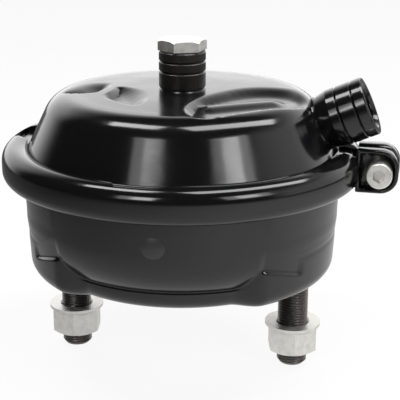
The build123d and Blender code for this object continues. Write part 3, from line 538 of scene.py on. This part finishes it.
def turned_paint():
    """Thin brownish black paint over a turned boss, with its tool marks and small chips."""
    material, tree, shader = new_material("turned_paint")
    place = tree.nodes.new("ShaderNodeTexCoord")
    rings = add_node(tree, "ShaderNodeMapping")
    tree.links.new(place.outputs["Object"], rings.inputs["Vector"])
    rings.inputs["Scale"].default_value = (0.05, 0.05, 1)
    marks = add_node(tree, "ShaderNodeTexNoise", Scale=1500.0, Detail=3.0)
    tree.links.new(rings.outputs["Vector"], marks.inputs["Vector"])
    chips = object_noise(tree, 700.0, 4.0)
    chipped = ramp(tree, chips.outputs["Fac"], 0.66, 0.74, 0, 1)
    mixed_colour(tree, shader, chipped, (0.007, 0.006, 0.005), (0.060, 0.050, 0.042))
    shader.inputs["Roughness"].default_value = 0.34
    bump(tree, shader, marks.outputs["Fac"], 0.00006)
    return material


def zinc_plate(finish):
    """Bright zinc plate with faint brushing and tarnish."""
    material, tree, shader = new_material("zinc_plate")
    tarnish = object_noise(tree, 260.0, 5.0)
    clean = ramp(tree, tarnish.outputs["Fac"], 0.35, 0.6, 0, 1)
    mixed_colour(tree, shader, clean, [c * TARNISH for c in finish.zinc], finish.zinc)
    tree.links.new(ramp(tree, tarnish.outputs["Fac"], 0.3, 0.7, 0.38, 0.52), shader.inputs["Roughness"])
    shader.inputs["Metallic"].default_value = 1.0
    grain = object_noise(tree, 1800.0, 2.0)
    bump(tree, shader, grain.outputs["Fac"], 0.00002)
    return material


def stud_steel(finish):
    """Studs: black paint above, bare phosphated steel near the nuts."""
    material, tree, shader = new_material("stud_steel")
    place = tree.nodes.new("ShaderNodeTexCoord")
    split = tree.nodes.new("ShaderNodeSeparateXYZ")
    tree.links.new(place.outputs["Object"], split.inputs["Vector"])
    edge = object_noise(tree, 420.0, 3.0)
    height = combine(tree, "MULTIPLY_ADD", edge.outputs["Fac"], STUD_EDGE_RAGGED, split.outputs["Z"])
    below, above = STUD_EDGE_FADE
    painted = ramp(tree, height, STUD_BARE_Z * MM - below, STUD_BARE_Z * MM + above, 0, 1)
    mixed_colour(tree, shader, painted, finish.phosphate, (0.012, 0.012, 0.012))
    tree.links.new(combine(tree, "SUBTRACT", 1.0, painted), shader.inputs["Metallic"])
    shader.inputs["Roughness"].default_value = 0.38
    grain = object_noise(tree, 900.0, 3.0)
    bump(tree, shader, grain.outputs["Fac"], 0.00004)
    return material


def plain_steel():
    """Pressed steel inside the chamber."""
    material, tree, shader = new_material("pressed_steel")
    haze = object_noise(tree, 120.0, 5.0)
    mixed_colour(tree, shader, haze.outputs["Fac"], (0.33, 0.325, 0.32), (0.50, 0.50, 0.49))
    tree.links.new(ramp(tree, haze.outputs["Fac"], 0.3, 0.7, 0.28, 0.45), shader.inputs["Roughness"])
    shader.inputs["Metallic"].default_value = 1.0
    return material


def moulded_rubber(finish):
    """Matt black rubber with a fine moulded grain."""
    material, tree, shader = new_material("moulded_rubber")
    grain = object_noise(tree, 1500.0, 3.0)
    bloom = object_noise(tree, 90.0, 4.0)
    mixed_colour(tree, shader, bloom.outputs["Fac"], finish.rubber, [c * BLOOM for c in finish.rubber])
    shader.inputs["Roughness"].default_value = 0.62
    bump(tree, shader, grain.outputs["Fac"], 0.00005)
    return material


def vent_plastic():
    """Satin black plastic of the vent plugs."""
    material, tree, shader = new_material("vent_plastic")
    grain = object_noise(tree, 1100.0, 3.0)
    bloom = object_noise(tree, 500.0, 3.0)
    mixed_colour(tree, shader, bloom.outputs["Fac"], (0.016, 0.016, 0.017), (0.026, 0.026, 0.027))
    shader.inputs["Roughness"].default_value = 0.45
    bump(tree, shader, grain.outputs["Fac"], 0.00004)
    return material


def floor_white():
    """White floor: evenly bright for the camera, with a painted pool of light near the object that only
    reflections see.
    """
    material, tree, shader = new_material("floor_white")
    shader.inputs["Roughness"].default_value = 0.9
    speck = object_noise(tree, 3.0, 2.0)
    tone = ramp(tree, speck.outputs["Fac"], 0.3, 0.7, 0.86, 0.88)
    colour = add_node(tree, "ShaderNodeCombineColor")
    for channel in ("Red", "Green", "Blue"):
        tree.links.new(tone, colour.inputs[channel])
    tree.links.new(colour.outputs["Color"], shader.inputs["Base Color"])
    path = tree.nodes.new("ShaderNodeLightPath")
    glossy = path.outputs["Is Glossy Ray"]
    direct = combine(tree, "MAXIMUM", path.outputs["Is Camera Ray"], path.outputs["Is Transmission Ray"])
    share = combine(tree, "MULTIPLY_ADD", direct, FLOOR_WHITE, glossy)
    place = tree.nodes.new("ShaderNodeTexCoord")
    apart = add_node(tree, "ShaderNodeVectorMath", operation="DISTANCE")
    tree.links.new(place.outputs["Object"], apart.inputs[0])
    apart.inputs[1].default_value = FLOOR_GLOW
    # painted pool of light: for reflections the floor glows brighter near one point and dimmer further out
    glow = ramp(tree, apart.outputs["Value"], *FLOOR_GLOW_REACH, *FLOOR_GLOW_RADIANCE)
    white = add_node(tree, "ShaderNodeEmission", Color=(1, 1, 1, 1))
    dimmed = combine(tree, "MULTIPLY_ADD", combine(tree, "SUBTRACT", glow, 1), glossy, 1)
    tree.links.new(dimmed, white.inputs["Strength"])
    mix = tree.nodes.new("ShaderNodeMixShader")
    tree.links.new(share, mix.inputs["Fac"])
    tree.links.new(shader.outputs[0], mix.inputs[1])
    tree.links.new(white.outputs[0], mix.inputs[2])
    tree.links.new(mix.outputs[0], tree.nodes["Material Output"].inputs["Surface"])
    return material


# ---------------------------------------------------------------- operators


class CHAMBER_OT_finishes(bpy.types.Operator):
    """Give every carried-over piece its finish"""

    bl_idname = "chamber.finishes"
    bl_label = "Finishes"

    def execute(self, context):
        finish = context.scene.chamber_finish
        paint = gloss_paint(finish)
        zinc = zinc_plate(finish)
        stud = stud_steel(finish)
        steel = plain_steel()
        rubber = moulded_rubber(finish)
        plastic = vent_plastic()
        by_slot = {
            "shell_paint": paint,
            "clamp_paint": paint,
            "zinc_steel": zinc,
            "stud_steel": stud,
            "plug_plastic": plastic,
            "black_rubber": rubber,
            "inner_steel": steel,
        }
        for entry in frame["record"]["subparts"]:
            dress(entry["node"], by_slot[entry["material_slot"]])
        dress("top_port_boss", turned_paint())
        return {"FINISHED"}


def shell_radius(z, inset=0.0):
    """Radius of the upper shell's leaning wall at a height."""
    lean = math.radians(WALL_LEAN)
    return FOOT_R - inset / math.cos(lean) - (z - FLANGE_TOP_Z) * math.tan(lean)


def shoulder(top_z, radius, inset):
    """Arc between the wall and the crown, from the wall up."""
    lean = math.radians(WALL_LEAN)
    centre_z = top_z - radius
    wall_r = shell_radius(centre_z, inset)
    centre = (wall_r - radius / math.cos(lean), centre_z)
    return arc(centre, radius, WALL_LEAN, 90, SHOULDER_STEPS)


def crown_height(r, top_z):
    """Height of the slightly domed crown at a radius."""
    return top_z - CROWN_DROP * ease((r - CROWN_DOME_R) / (CROWN_EDGE_R - CROWN_DOME_R))


class CHAMBER_OT_upper_shell(bpy.types.Operator):
    """Model the upper shell with its soft crown recesses"""

    bl_idname = "chamber.upper_shell"
    bl_label = "Upper Shell"

    def execute(self, context):
        paint = bpy.data.materials["gloss_paint"]
        shell = spun("upper_shell", self.section(), SHELL_STEPS)
        self.press(shell)
        cut(shell, self.throat())
        finish_piece(shell, paint, "pressure_housing", angle=40)
        top = bead("top_weld", self.top_ring(), WELD_R)
        finish_piece(top, paint)
        side = bead("side_weld", self.side_ring(), WELD_R)
        finish_piece(side, paint)
        return {"FINISHED"}

    def section(self):
        """Closed section from the crown's middle round the flange and back inside."""
        top_z = CROWN_Z - CROWN_DROP
        outer = list(reversed(shoulder(top_z, SHOULDER_R, 0)))
        steps = int(outer[0][0] / CROWN_STEP)
        crown = [(outer[0][0] * step / steps, 0) for step in range(steps)]
        crown = [(r, crown_height(r, CROWN_Z)) for r, _ in crown]
        foot_out = FOOT_BEND_R * math.tan(math.radians(45 - WALL_LEAN / 2))
        foot = (FOOT_R + foot_out, FLANGE_TOP_Z + FOOT_BEND_R)
        bend = arc(foot, FOOT_BEND_R, 180 + WALL_LEAN, 270, 5)
        rim = [(FLANGE_R - FLANGE_EDGE, FLANGE_TOP_Z), (FLANGE_R, FLANGE_TOP_Z - FLANGE_EDGE),
               (FLANGE_R, FLANGE_TOP_Z - WALL)]
        inner = shoulder(top_z - WALL, SHOULDER_R - WALL, WALL)
        inside = [(shell_radius(FLANGE_TOP_Z - WALL, WALL), FLANGE_TOP_Z - WALL), *inner]
        ceiling = [(r, crown_height(r, CROWN_Z) - WALL) for r in range(CEILING_R, -1, -CEILING_STEP)]
        return crown + outer + bend + rim + inside + ceiling

    def press(self, shell):
        """Presses the recesses and the fold into the crown."""
        outlines = [smooth_corners(outline, 2) for outline in RECESSES]
        for vertex in shell.data.vertices:
            x, y, z = (v / MM for v in vertex.co)
            if z < CROWN_Z - SHOULDER_R - WALL:
                continue
            depth = max(sunk(x, y, outline) for outline in outlines)
            fold = RIDGE_H * ease(1 - line_distance(x, y, *RIDGE)[0] / RIDGE_HALF)
            vertex.co.z -= (RECESS_DEPTH - fold) * depth * MM

    def throat(self):
        """Cutter for the hole under the side port."""
        select_none()
        lean = math.radians(PORT_LEAN)
        along = Vector((math.cos(lean), 0, math.sin(lean)))
        centre = (Vector(PORT_MOUTH) - along * PORT_LENGTH) * MM
        bpy.ops.mesh.primitive_cylinder_add(vertices=32, radius=PORT_THROAT_R * MM, depth=PORT_LENGTH * MM,
                                            location=centre, rotation=(0, math.pi / 2 - lean, 0))
        return bpy.context.object

    def top_ring(self):
        """Weld round the top boss's foot, on the crown."""
        points = []
        for step in range(WELD_POINTS):
            turn = 2 * math.pi * step / WELD_POINTS
            points.append((BOSS_FOOT_R * math.cos(turn), BOSS_FOOT_R * math.sin(turn), CROWN_Z))
        return points

    def side_ring(self):
        """Weld where the side port's cone meets the shell's wall."""
        lean = math.radians(PORT_LEAN)
        along = Vector((math.cos(lean), 0, math.sin(lean)))
        up = Vector((-math.sin(lean), 0, math.cos(lean)))
        points = []
        for step in range(WELD_POINTS):
            turn = 2 * math.pi * step / WELD_POINTS
            depth = PORT_STRAIGHT
            while depth < PORT_LENGTH + WELD_SEARCH:
                share = min(1, (depth - PORT_STRAIGHT) / (PORT_LENGTH - PORT_STRAIGHT))
                radius = PORT_R + (PORT_FOOT_R - PORT_R) * share
                out = Vector((0, 1, 0)) * math.cos(turn) + up * math.sin(turn)
                place = Vector(PORT_MOUTH) - along * depth + out * radius
                if math.hypot(place.x, place.y) < shell_radius(place.z):
                    break
                depth += WELD_SEARCH_STEP
            points.append(tuple(place))
        return points


class CHAMBER_OT_lower_shell(bpy.types.Operator):
    """Model the lower shell with its pressed base, creases and dents"""

    bl_idname = "chamber.lower_shell"
    bl_label = "Lower Shell"

    def execute(self, context):
        paint = bpy.data.materials["gloss_paint"]
        shell = spun("lower_shell", self.section(), LOWER_STEPS)
        self.press(shell)
        finish_piece(shell, paint, "mounting_housing", angle=50)
        return {"FINISHED"}

    def section(self):
        """Closed section from the opening along the mounting face, up to the flange and back inside."""
        groove_in, groove_out, groove_depth = SEAL_GROOVE
        start = [(OPENING_R, FLOOR_T), (OPENING_R, 0), (groove_in, 0), (groove_in, groove_depth),
                 (groove_out, groove_depth), (groove_out, 0)]
        flat = BASE_RADII[0] - BASE_EDGE_R
        face = [(groove_out + (flat - groove_out) * step / FACE_STEPS, 0)
                for step in range(1, FACE_STEPS + 1)]
        edge = [(BASE_RADII[0], BASE_EDGE_R * (1 - math.cos(math.radians(turn))))
                for turn in range(10, 91, 10)]
        rows = round((BASE_TOP_Z - BASE_EDGE_R) / BASE_STEP)
        side = [(BASE_RADII[0], BASE_EDGE_R + BASE_STEP * row) for row in range(1, rows + 1)]
        wall = [(BASE_RADII[0], z) for z in range(round(BASE_TOP_Z) + 1, LOWER_WALL_ROWS_END)]
        low, top = LOWER_FLANGE
        bend = arc((LOWER_R + LOWER_BEND_R, low - LOWER_BEND_R), LOWER_BEND_R, 180, 90, 5)
        rim = [(FLANGE_R, low), (FLANGE_R, top), (LOWER_R - WALL, top)]
        middle = (LOWER_R - LOWER_CORNER_R, LOWER_CORNER_TOP)
        corner = arc(middle, LOWER_CORNER_R - WALL, 0, -INNER_CORNER_TURN, 8)
        pocket = [(POCKET_R, FLOOR_T + POCKET_STEP), (POCKET_R, FLOOR_T)]
        return start + face + edge + side + wall + bend + rim + corner + pocket

    def press(self, shell):
        """Presses the base, its creases and its dents into the turned shell."""
        groove_out = SEAL_GROOVE[1]
        flat = BASE_RADII[0] - BASE_EDGE_R
        for vertex in shell.data.vertices:
            x, y, z = (v / MM for v in vertex.co)
            r, azimuth = math.hypot(x, y), math.atan2(y, x)
            if z < 0.001 and groove_out < r <= flat + 0.01:
                share = (r - groove_out) / (flat - groove_out)
                edge = self.base_radius(azimuth, BASE_EDGE_R) - BASE_EDGE_R
                reach = groove_out + (edge - groove_out) * share
            elif abs(r - BASE_RADII[0]) < 0.01 and z < LOWER_FLANGE[0] - LOWER_BEND_R:
                reach = self.dented(azimuth, z, self.wall_radius(azimuth, z))
            else:
                continue
            vertex.co.x, vertex.co.y = x * reach / r * MM, y * reach / r * MM

    def base_radius(self, azimuth, z):
        """Radius of the base's drafted side at an azimuth."""
        turned = abs((math.degrees(azimuth) - BASE_TURN + 180) % 360 - 180)
        from_axis = min(turned, 180 - turned)
        side, front = BASE_RADII
        low, high = BASE_SPREAD
        radius = side + (front - side) * ease((from_axis - low) / (high - low))
        return radius + z * math.tan(math.radians(BASE_DRAFT))

    def wall_radius(self, azimuth, z):
        """Radius of the outer face: the base below, the cup's round corner over it."""
        base = self.base_radius(azimuth, z)
        if z < BASE_EDGE_R:
            base -= BASE_EDGE_R - math.sqrt(BASE_EDGE_R ** 2 - (BASE_EDGE_R - z) ** 2)
        below = max(0.0, LOWER_CORNER_TOP - z)
        if below >= LOWER_CORNER_R:
            return base
        cup = LOWER_R - LOWER_CORNER_R + math.sqrt(LOWER_CORNER_R ** 2 - below ** 2)
        crease = FOLD_DEPTH * math.exp(-((cup - base + FOLD_DROP) / FOLD_WIDTH) ** 2)
        crease *= ease((BASE_TOP_Z - z) / FOLD_FADE)
        return max(base, cup) - crease

    def dented(self, azimuth, z, radius):
        """Radius with the dents over the base's four corners pressed in."""
        back, ahead, rise = DENT_SIDES
        for quarter in (-1, 1):
            for half in (0, 180):
                way = quarter * (1 if half == 0 else -1)
                middle = math.radians(half + way * DENT_AZIMUTH + BASE_TURN)
                apart = (azimuth - middle + math.pi) % (2 * math.pi) - math.pi
                towards = -apart * radius * way
                ledge = DENT_Z - towards * math.tan(math.radians(DENT_SLOPE))
                sides = ease((towards - back) / DENT_SOFT + 0.5) * ease((ahead - towards) / DENT_SOFT + 0.5)
                foot = ease((z - ledge) / DENT_LEDGE_SOFT + 0.5)
                region = sides * (foot * ease((rise - z + ledge) / DENT_SOFT + 0.5))
                floor = DENT_FLOOR_R + (z - ledge) * math.tan(math.radians(DENT_LEAN))
                radius -= region * max(0.0, radius - floor)
        return radius


class CHAMBER_OT_clamp_ring(bpy.types.Operator):
    """Model the clamp ring with its notches and its two ears"""

    bl_idname = "chamber.clamp_ring"
    bl_label = "Clamp Ring"

    def execute(self, context):
        paint = bpy.data.materials["gloss_paint"]
        half_gap = math.degrees(math.asin(EAR_GAP / 2 / RING_R))
        ring = spun("clamp_band", self.section(), RING_STEPS, 360 - 2 * half_gap)
        ring.rotation_euler = (0, 0, math.radians(half_gap))
        settle(ring)
        self.notch(ring)
        finish_piece(ring, paint, "clamp_ring", angle=50)
        for side in (-1, 1):
            ear = self.ear("front_ear" if side < 0 else "rear_ear", side)
            finish_piece(ear, paint, angle=50)
        return {"FINISHED"}

    def section(self):
        """Closed channel section from the inner lip over the shoulder to the lower lip and back."""
        lip_r, lip_top, lip_low = RING_LIP
        low_r, low_under, low_top = RING_LOW_LIP
        shoulder = (RING_R - RING_SHOULDER_R, RING_TOP_Z - RING_SHOULDER_R)
        tuck = (RING_R - RING_TUCK_R, RING_BOTTOM_Z + RING_TUCK_R)
        out, rise = RING_LIP_RISE
        flange = [(lip_r, lip_top - RING_LIP_EDGE), (lip_r + RING_LIP_EDGE, lip_top),
                  (lip_r + out, lip_top + rise)]
        outer = arc(shoulder, RING_SHOULDER_R, 90, 0, 12) + arc(tuck, RING_TUCK_R, 0, -80, 8)
        low_lip = [(low_r, low_under), (low_r, low_top)]
        bend, bend_low, bend_high = RING_LOW_BEND
        roof_in, roof_drop = RING_HIGH_BEND
        inner = [(RING_BORE_R - bend, RING_BOTTOM_Z + bend_low), (RING_BORE_R, RING_BOTTOM_Z + bend_high),
                 (RING_BORE_R, lip_low - roof_drop)]
        return flange + outer + low_lip + inner + [(RING_BORE_R - roof_in, lip_low), (lip_r, lip_low)]

    def notch(self, ring):
        """Cuts the flanges back at the notches and at the mouth."""
        centre_r = RING_R - RING_SHOULDER_R
        centre_z = RING_TOP_Z - RING_SHOULDER_R
        for vertex in ring.data.vertices:
            x, y, z = (v / MM for v in vertex.co)
            r, azimuth = math.hypot(x, y), math.degrees(math.atan2(y, x))
            high = z > EAR_Z
            reach = ease((MOUTH_HALF - abs(azimuth)) / 2 + 1) * (MOUTH_R - RING_LIP[0]) + RING_LIP[0]
            if high:
                for middle in NOTCHES:
                    off = abs((azimuth - middle + 180) % 360 - 180)
                    share = min(1, max(0, (NOTCH_HALF + NOTCH_LEAN - off) / NOTCH_LEAN))
                    reach = max(reach, RING_LIP[0] + share * (NOTCH_R - RING_LIP[0]))
            if r >= reach:
                continue
            if high and z > RING_LIP[2] + 0.1 and reach > centre_r:
                z = centre_z + math.sqrt(RING_SHOULDER_R ** 2 - (reach - centre_r) ** 2)
            vertex.co = (x * reach / r * MM, y * reach / r * MM, z * MM)

    def outline(self, inset):
        """Rounded oblong of an ear's edge, drawn in by an inset."""
        near, far = EAR_ENDS[0] + inset, EAR_ENDS[1] - inset
        half = EAR_HALF - inset
        radius = max(EAR_CORNER_R - inset, 0.5)
        root = near + EAR_ROOT_R
        corners = (((far - radius, half - radius), 0), ((root, half - EAR_ROOT_R), 90),
                   ((root, EAR_ROOT_R - half), 180), ((far - radius, radius - half), 270))
        points = []
        for centre, start in corners:
            size = radius if start in (0, 270) else EAR_ROOT_R
            points += arc(centre, size, start, start + 90, EAR_ARC)
        return points

    def ear(self, name, side):
        """Pressed ear: a shallow pan with a rolled rim and a hole for the screw."""
        face = EAR_GAP / 2
        # from the back round the corner, over the rim's tip and down to the pan
        bend = arc((EAR_BEND_R, EAR_BEND_R), EAR_BEND_R, 270, 180, EAR_CURVE)
        lip = arc((EAR_TIP_R, EAR_RIM_TIP - EAR_TIP_R - face), EAR_TIP_R, 180, 0, EAR_CURVE)
        floor = arc(EAR_PAN[:2], EAR_PAN[2], 180, 270, EAR_CURVE)
        profile = bend + lip + floor
        hole = [(SCREW_HOLE_R, EAR_T), (SCREW_HOLE_R, 0.0)]
        count = len(self.outline(0))
        select_none()
        bpy.ops.mesh.primitive_torus_add(major_segments=count, minor_segments=len(profile) + len(hole),
                                         major_radius=MM, minor_radius=MM / 4)
        ear = bpy.context.object
        ear.name = name
        places = []
        rings = [(self.outline(inset), depth) for inset, depth in profile]
        for index in range(count):
            for ring, depth in rings:
                u, v = ring[index]
                places.append((u, side * (face + depth), EAR_Z + v))
            u, v = self.outline(0)[index]
            turn = math.atan2(EAR_Z + v - SCREW_PLACE[1], u - SCREW_PLACE[0])
            for radius, depth in hole:
                places.append((SCREW_PLACE[0] + radius * math.cos(turn), side * (face + depth),
                               SCREW_PLACE[1] + radius * math.sin(turn)))
        for vertex, place in zip(ear.data.vertices, places):
            vertex.co = Vector(place) * MM
        bpy.ops.object.mode_set(mode="EDIT")
        bpy.ops.mesh.select_all(action="SELECT")
        bpy.ops.mesh.normals_make_consistent(inside=False)
        bpy.ops.object.mode_set(mode="OBJECT")
        return ear


class CHAMBER_OT_threads(bpy.types.Operator):
    """Model the studs with their threads and the thread in the side port"""

    bl_idname = "chamber.threads"
    bl_label = "Threads"

    def execute(self, context):
        for name, x in (("right_stud", STUD_X), ("left_stud", -STUD_X)):
            stud = spun(name + "_threaded", self.stud_section(), STUD_STEPS)
            self.wind(stud, THREAD_PITCH, THREAD_DEPTH, STUD_R, STUD_TIP_Z + STUD_TIP / 2, THREAD_TOP_Z)
            stud.location = (x * MM, 0, 0)
            finish_piece(stud, bpy.data.materials["stud_steel"], name)
        first, last = BORE_THREADS
        thread = spun("port_thread", self.bore_section(), BORE_STEPS)
        self.wind(thread, BORE_PITCH, BORE_THREAD_DEPTH, BORE_R, -last, -first, BORE_CREST)
        thread.rotation_euler = (0, math.pi / 2 - math.radians(PORT_LEAN), 0)
        thread.location = Vector(PORT_MOUTH) * MM
        finish_piece(thread, bpy.data.materials["gloss_paint"])
        return {"FINISHED"}

    def stud_section(self):
        """Half section of a stud from its tip up, with a row for each face of the thread."""
        head_r, head_low, head_top = STUD_HEAD
        low = STUD_TIP_Z + STUD_TIP
        rows = round((THREAD_TOP_Z - low) / THREAD_PITCH * THREAD_ROWS)
        shank = [(STUD_R, low + (THREAD_TOP_Z - low) * row / rows) for row in range(rows + 1)]
        head = [(head_r, head_low), (head_r, head_top - STUD_HEAD_EDGE), (head_r - STUD_HEAD_EDGE, head_top),
                (0, head_top)]
        neck = [(STUD_R, 0), (STUD_NECK_R, 0), (STUD_NECK_R, head_low)]
        return [(0, STUD_TIP_Z), (STUD_R - STUD_TIP, STUD_TIP_Z), *shank, *neck, *head]

    def bore_section(self):
        """Closed section of the bore's thread, in the port's own frame."""
        first, last = BORE_THREADS
        rows = round((last - first) / BORE_PITCH * THREAD_ROWS)
        inner = [(BORE_R, -first - (last - first) * row / rows) for row in range(rows + 1)]
        return inner + [(BORE_R + BORE_BACK, -last), (BORE_R + BORE_BACK, -first)]

    def wind(self, piece, pitch, depth, radius, low, high, crest=None):
        """Winds a thread into a turned piece: inwards on a shank, or outwards from a bore's crests."""
        for vertex in piece.data.vertices:
            x, y, z = (v / MM for v in vertex.co)
            r = math.hypot(x, y)
            if abs(r - radius) > 0.01 or not low <= z <= high:
                continue
            turn = (z / pitch - math.atan2(y, x) / (2 * math.pi)) % 1
            sink = depth * (1 - abs(2 * turn - 1)) * ease((z - low) / pitch) * ease((high - z) / pitch)
            reach = r - sink if crest is None else r + sink - crest
            vertex.co = (x * reach / r * MM, y * reach / r * MM, z * MM)


def view_axes(azimuth, elevation):
    """Right, up and back of something that looks at the object from an azimuth and elevation."""
    back = Vector((math.sin(azimuth) * math.cos(elevation), -math.cos(azimuth) * math.cos(elevation),
                   math.sin(elevation)))
    right = Vector((math.cos(azimuth), math.sin(azimuth), 0))
    return right, back.cross(right), back


def soft_box(name, target, azimuth, elevation, roll, size, radiance):
    """A rectangular lamp that faces a point, with a stated brightness."""
    lamp = bpy.data.lights.new(name, "AREA")
    lamp.shape = "RECTANGLE"
    lamp.size, lamp.size_y = size
    lamp.energy = radiance * math.pi * size[0] * size[1]
    obj = bpy.data.objects.new(name, lamp)
    bpy.context.scene.collection.objects.link(obj)
    right, up, back = view_axes(math.radians(azimuth), math.radians(elevation))
    turn = Matrix((right, up, back)).transposed().to_4x4()
    spin = Matrix.Rotation(math.radians(roll), 4, "Z")
    obj.matrix_world = Matrix.Translation(Vector(target) + back * BOX_DISTANCE) @ turn @ spin


class CHAMBER_OT_stage(bpy.types.Operator):
    """Set up the floor, the lamps and the camera"""

    bl_idname = "chamber.stage"
    bl_label = "Stage"

    def execute(self, context):
        stage = context.scene.chamber_stage
        self.camera(context, stage)
        self.floor(stage)
        self.lamps()
        self.world(context)
        context.scene.view_settings.view_transform = "Standard"
        return {"FINISHED"}

    def camera(self, context, stage):
        """The camera, turned about its own axis by the roll."""
        level, rise, back = view_axes(stage.azimuth, stage.elevation)
        right = level * math.cos(stage.roll) + rise * math.sin(stage.roll)
        up = rise * math.cos(stage.roll) - level * math.sin(stage.roll)
        lens = bpy.data.cameras.new("camera")
        lens.lens = stage.lens
        lens.sensor_width = SENSOR_WIDTH
        lens.clip_start = CLIP_START
        camera = bpy.data.objects.new("camera", lens)
        context.scene.collection.objects.link(camera)
        turn = Matrix((right, up, back)).transposed().to_4x4()
        camera.matrix_world = Matrix.Translation(Vector(stage.aim) + back * stage.distance) @ turn
        context.scene.camera = camera

    def floor(self, stage):
        """A plain pale floor under the studs' tips."""
        bpy.ops.object.select_all(action="DESELECT")
        bpy.ops.mesh.primitive_plane_add(size=FLOOR_SIZE, location=(0, 0, CAD_BOX[0][2] - stage.floor_gap))
        floor = bpy.context.object
        floor.name = "floor"
        floor.data.materials.append(floor_white())

    def lamps(self):
        """The soft boxes."""
        for name, azimuth, elevation, roll, size, radiance in BOXES:
            soft_box(name, BOX_TARGET, azimuth, elevation, roll, size, radiance)

    def world(self, context):
        """A bright backdrop behind and to the right, dark in front."""
        world = bpy.data.worlds.new("studio")
        context.scene.world = world
        world.use_nodes = True
        tree = world.node_tree
        tree.nodes.clear()
        place = tree.nodes.new("ShaderNodeTexCoord")
        split = tree.nodes.new("ShaderNodeSeparateXYZ")
        tree.links.new(place.outputs["Generated"], split.inputs["Vector"])
        low = ramp(tree, split.outputs["Z"], *BACKDROP_TOP, 1, 0)
        direction = place.outputs["Generated"]
        sides = self.towards(tree, direction, BACKDROP_AZIMUTH, *BACKDROP_EDGE, 0, SIDE_RADIANCE)
        back = self.towards(tree, direction, BACK_AZIMUTH, *BACK_EDGE, 0, BACK_RADIANCE)
        both = combine(tree, "ADD", sides, back)
        glow = combine(tree, "MULTIPLY_ADD", both, low, DARK_RADIANCE)
        output = tree.nodes.new("ShaderNodeOutputWorld")
        seen = add_node(tree, "ShaderNodeBackground", Color=(1, 1, 1, 1))
        tree.links.new(glow, seen.inputs["Strength"])
        white = add_node(tree, "ShaderNodeBackground", Color=(1, 1, 1, 1), Strength=1.0)
        path = tree.nodes.new("ShaderNodeLightPath")
        mix = tree.nodes.new("ShaderNodeMixShader")
        tree.links.new(path.outputs["Is Camera Ray"], mix.inputs["Fac"])
        tree.links.new(seen.outputs[0], mix.inputs[1])
        tree.links.new(white.outputs[0], mix.inputs[2])
        tree.links.new(mix.outputs[0], output.inputs["Surface"])

    def towards(self, tree, direction, azimuth, low, high, low_value, high_value):
        """Value that grows as a direction turns towards an azimuth."""
        dot = add_node(tree, "ShaderNodeVectorMath", operation="DOT_PRODUCT")
        tree.links.new(direction, dot.inputs[0])
        turn = math.radians(azimuth)
        dot.inputs[1].default_value = (math.sin(turn), -math.cos(turn), 0)
        return ramp(tree, dot.outputs["Value"], low, high, low_value, high_value)


class CHAMBER_PT_panel(bpy.types.Panel):
    """Steps that dress the chamber"""

    bl_label = "Brake Chamber"
    bl_idname = "CHAMBER_PT_panel"
    bl_space_type = "VIEW_3D"
    bl_region_type = "UI"
    bl_category = "Brake Chamber"

    def draw(self, context):
        for step in STEPS:
            self.layout.operator(step.bl_idname)


STEPS = (CHAMBER_OT_finishes, CHAMBER_OT_upper_shell, CHAMBER_OT_lower_shell, CHAMBER_OT_clamp_ring,
         CHAMBER_OT_threads, CHAMBER_OT_stage)
SETTINGS = {"chamber_finish": ChamberFinish, "chamber_stage": ChamberStage}


def register():
    """Adds the settings, the steps and the panel."""
    for cls in (*SETTINGS.values(), *STEPS, CHAMBER_PT_panel):
        bpy.utils.register_class(cls)
    for name, cls in SETTINGS.items():
        setattr(bpy.types.Scene, name, bpy.props.PointerProperty(type=cls))


def unregister():
    """Takes them away again."""
    for name in SETTINGS:
        delattr(bpy.types.Scene, name)
    for cls in (CHAMBER_PT_panel, *reversed(STEPS), *SETTINGS.values()):
        bpy.utils.unregister_class(cls)


def main():
    """Registers the classes and runs every step."""
    register()
    for step in STEPS:
        group, name = step.bl_idname.split(".")
        getattr(getattr(bpy.ops, group), name)()


if __name__ == "__main__":
    main()
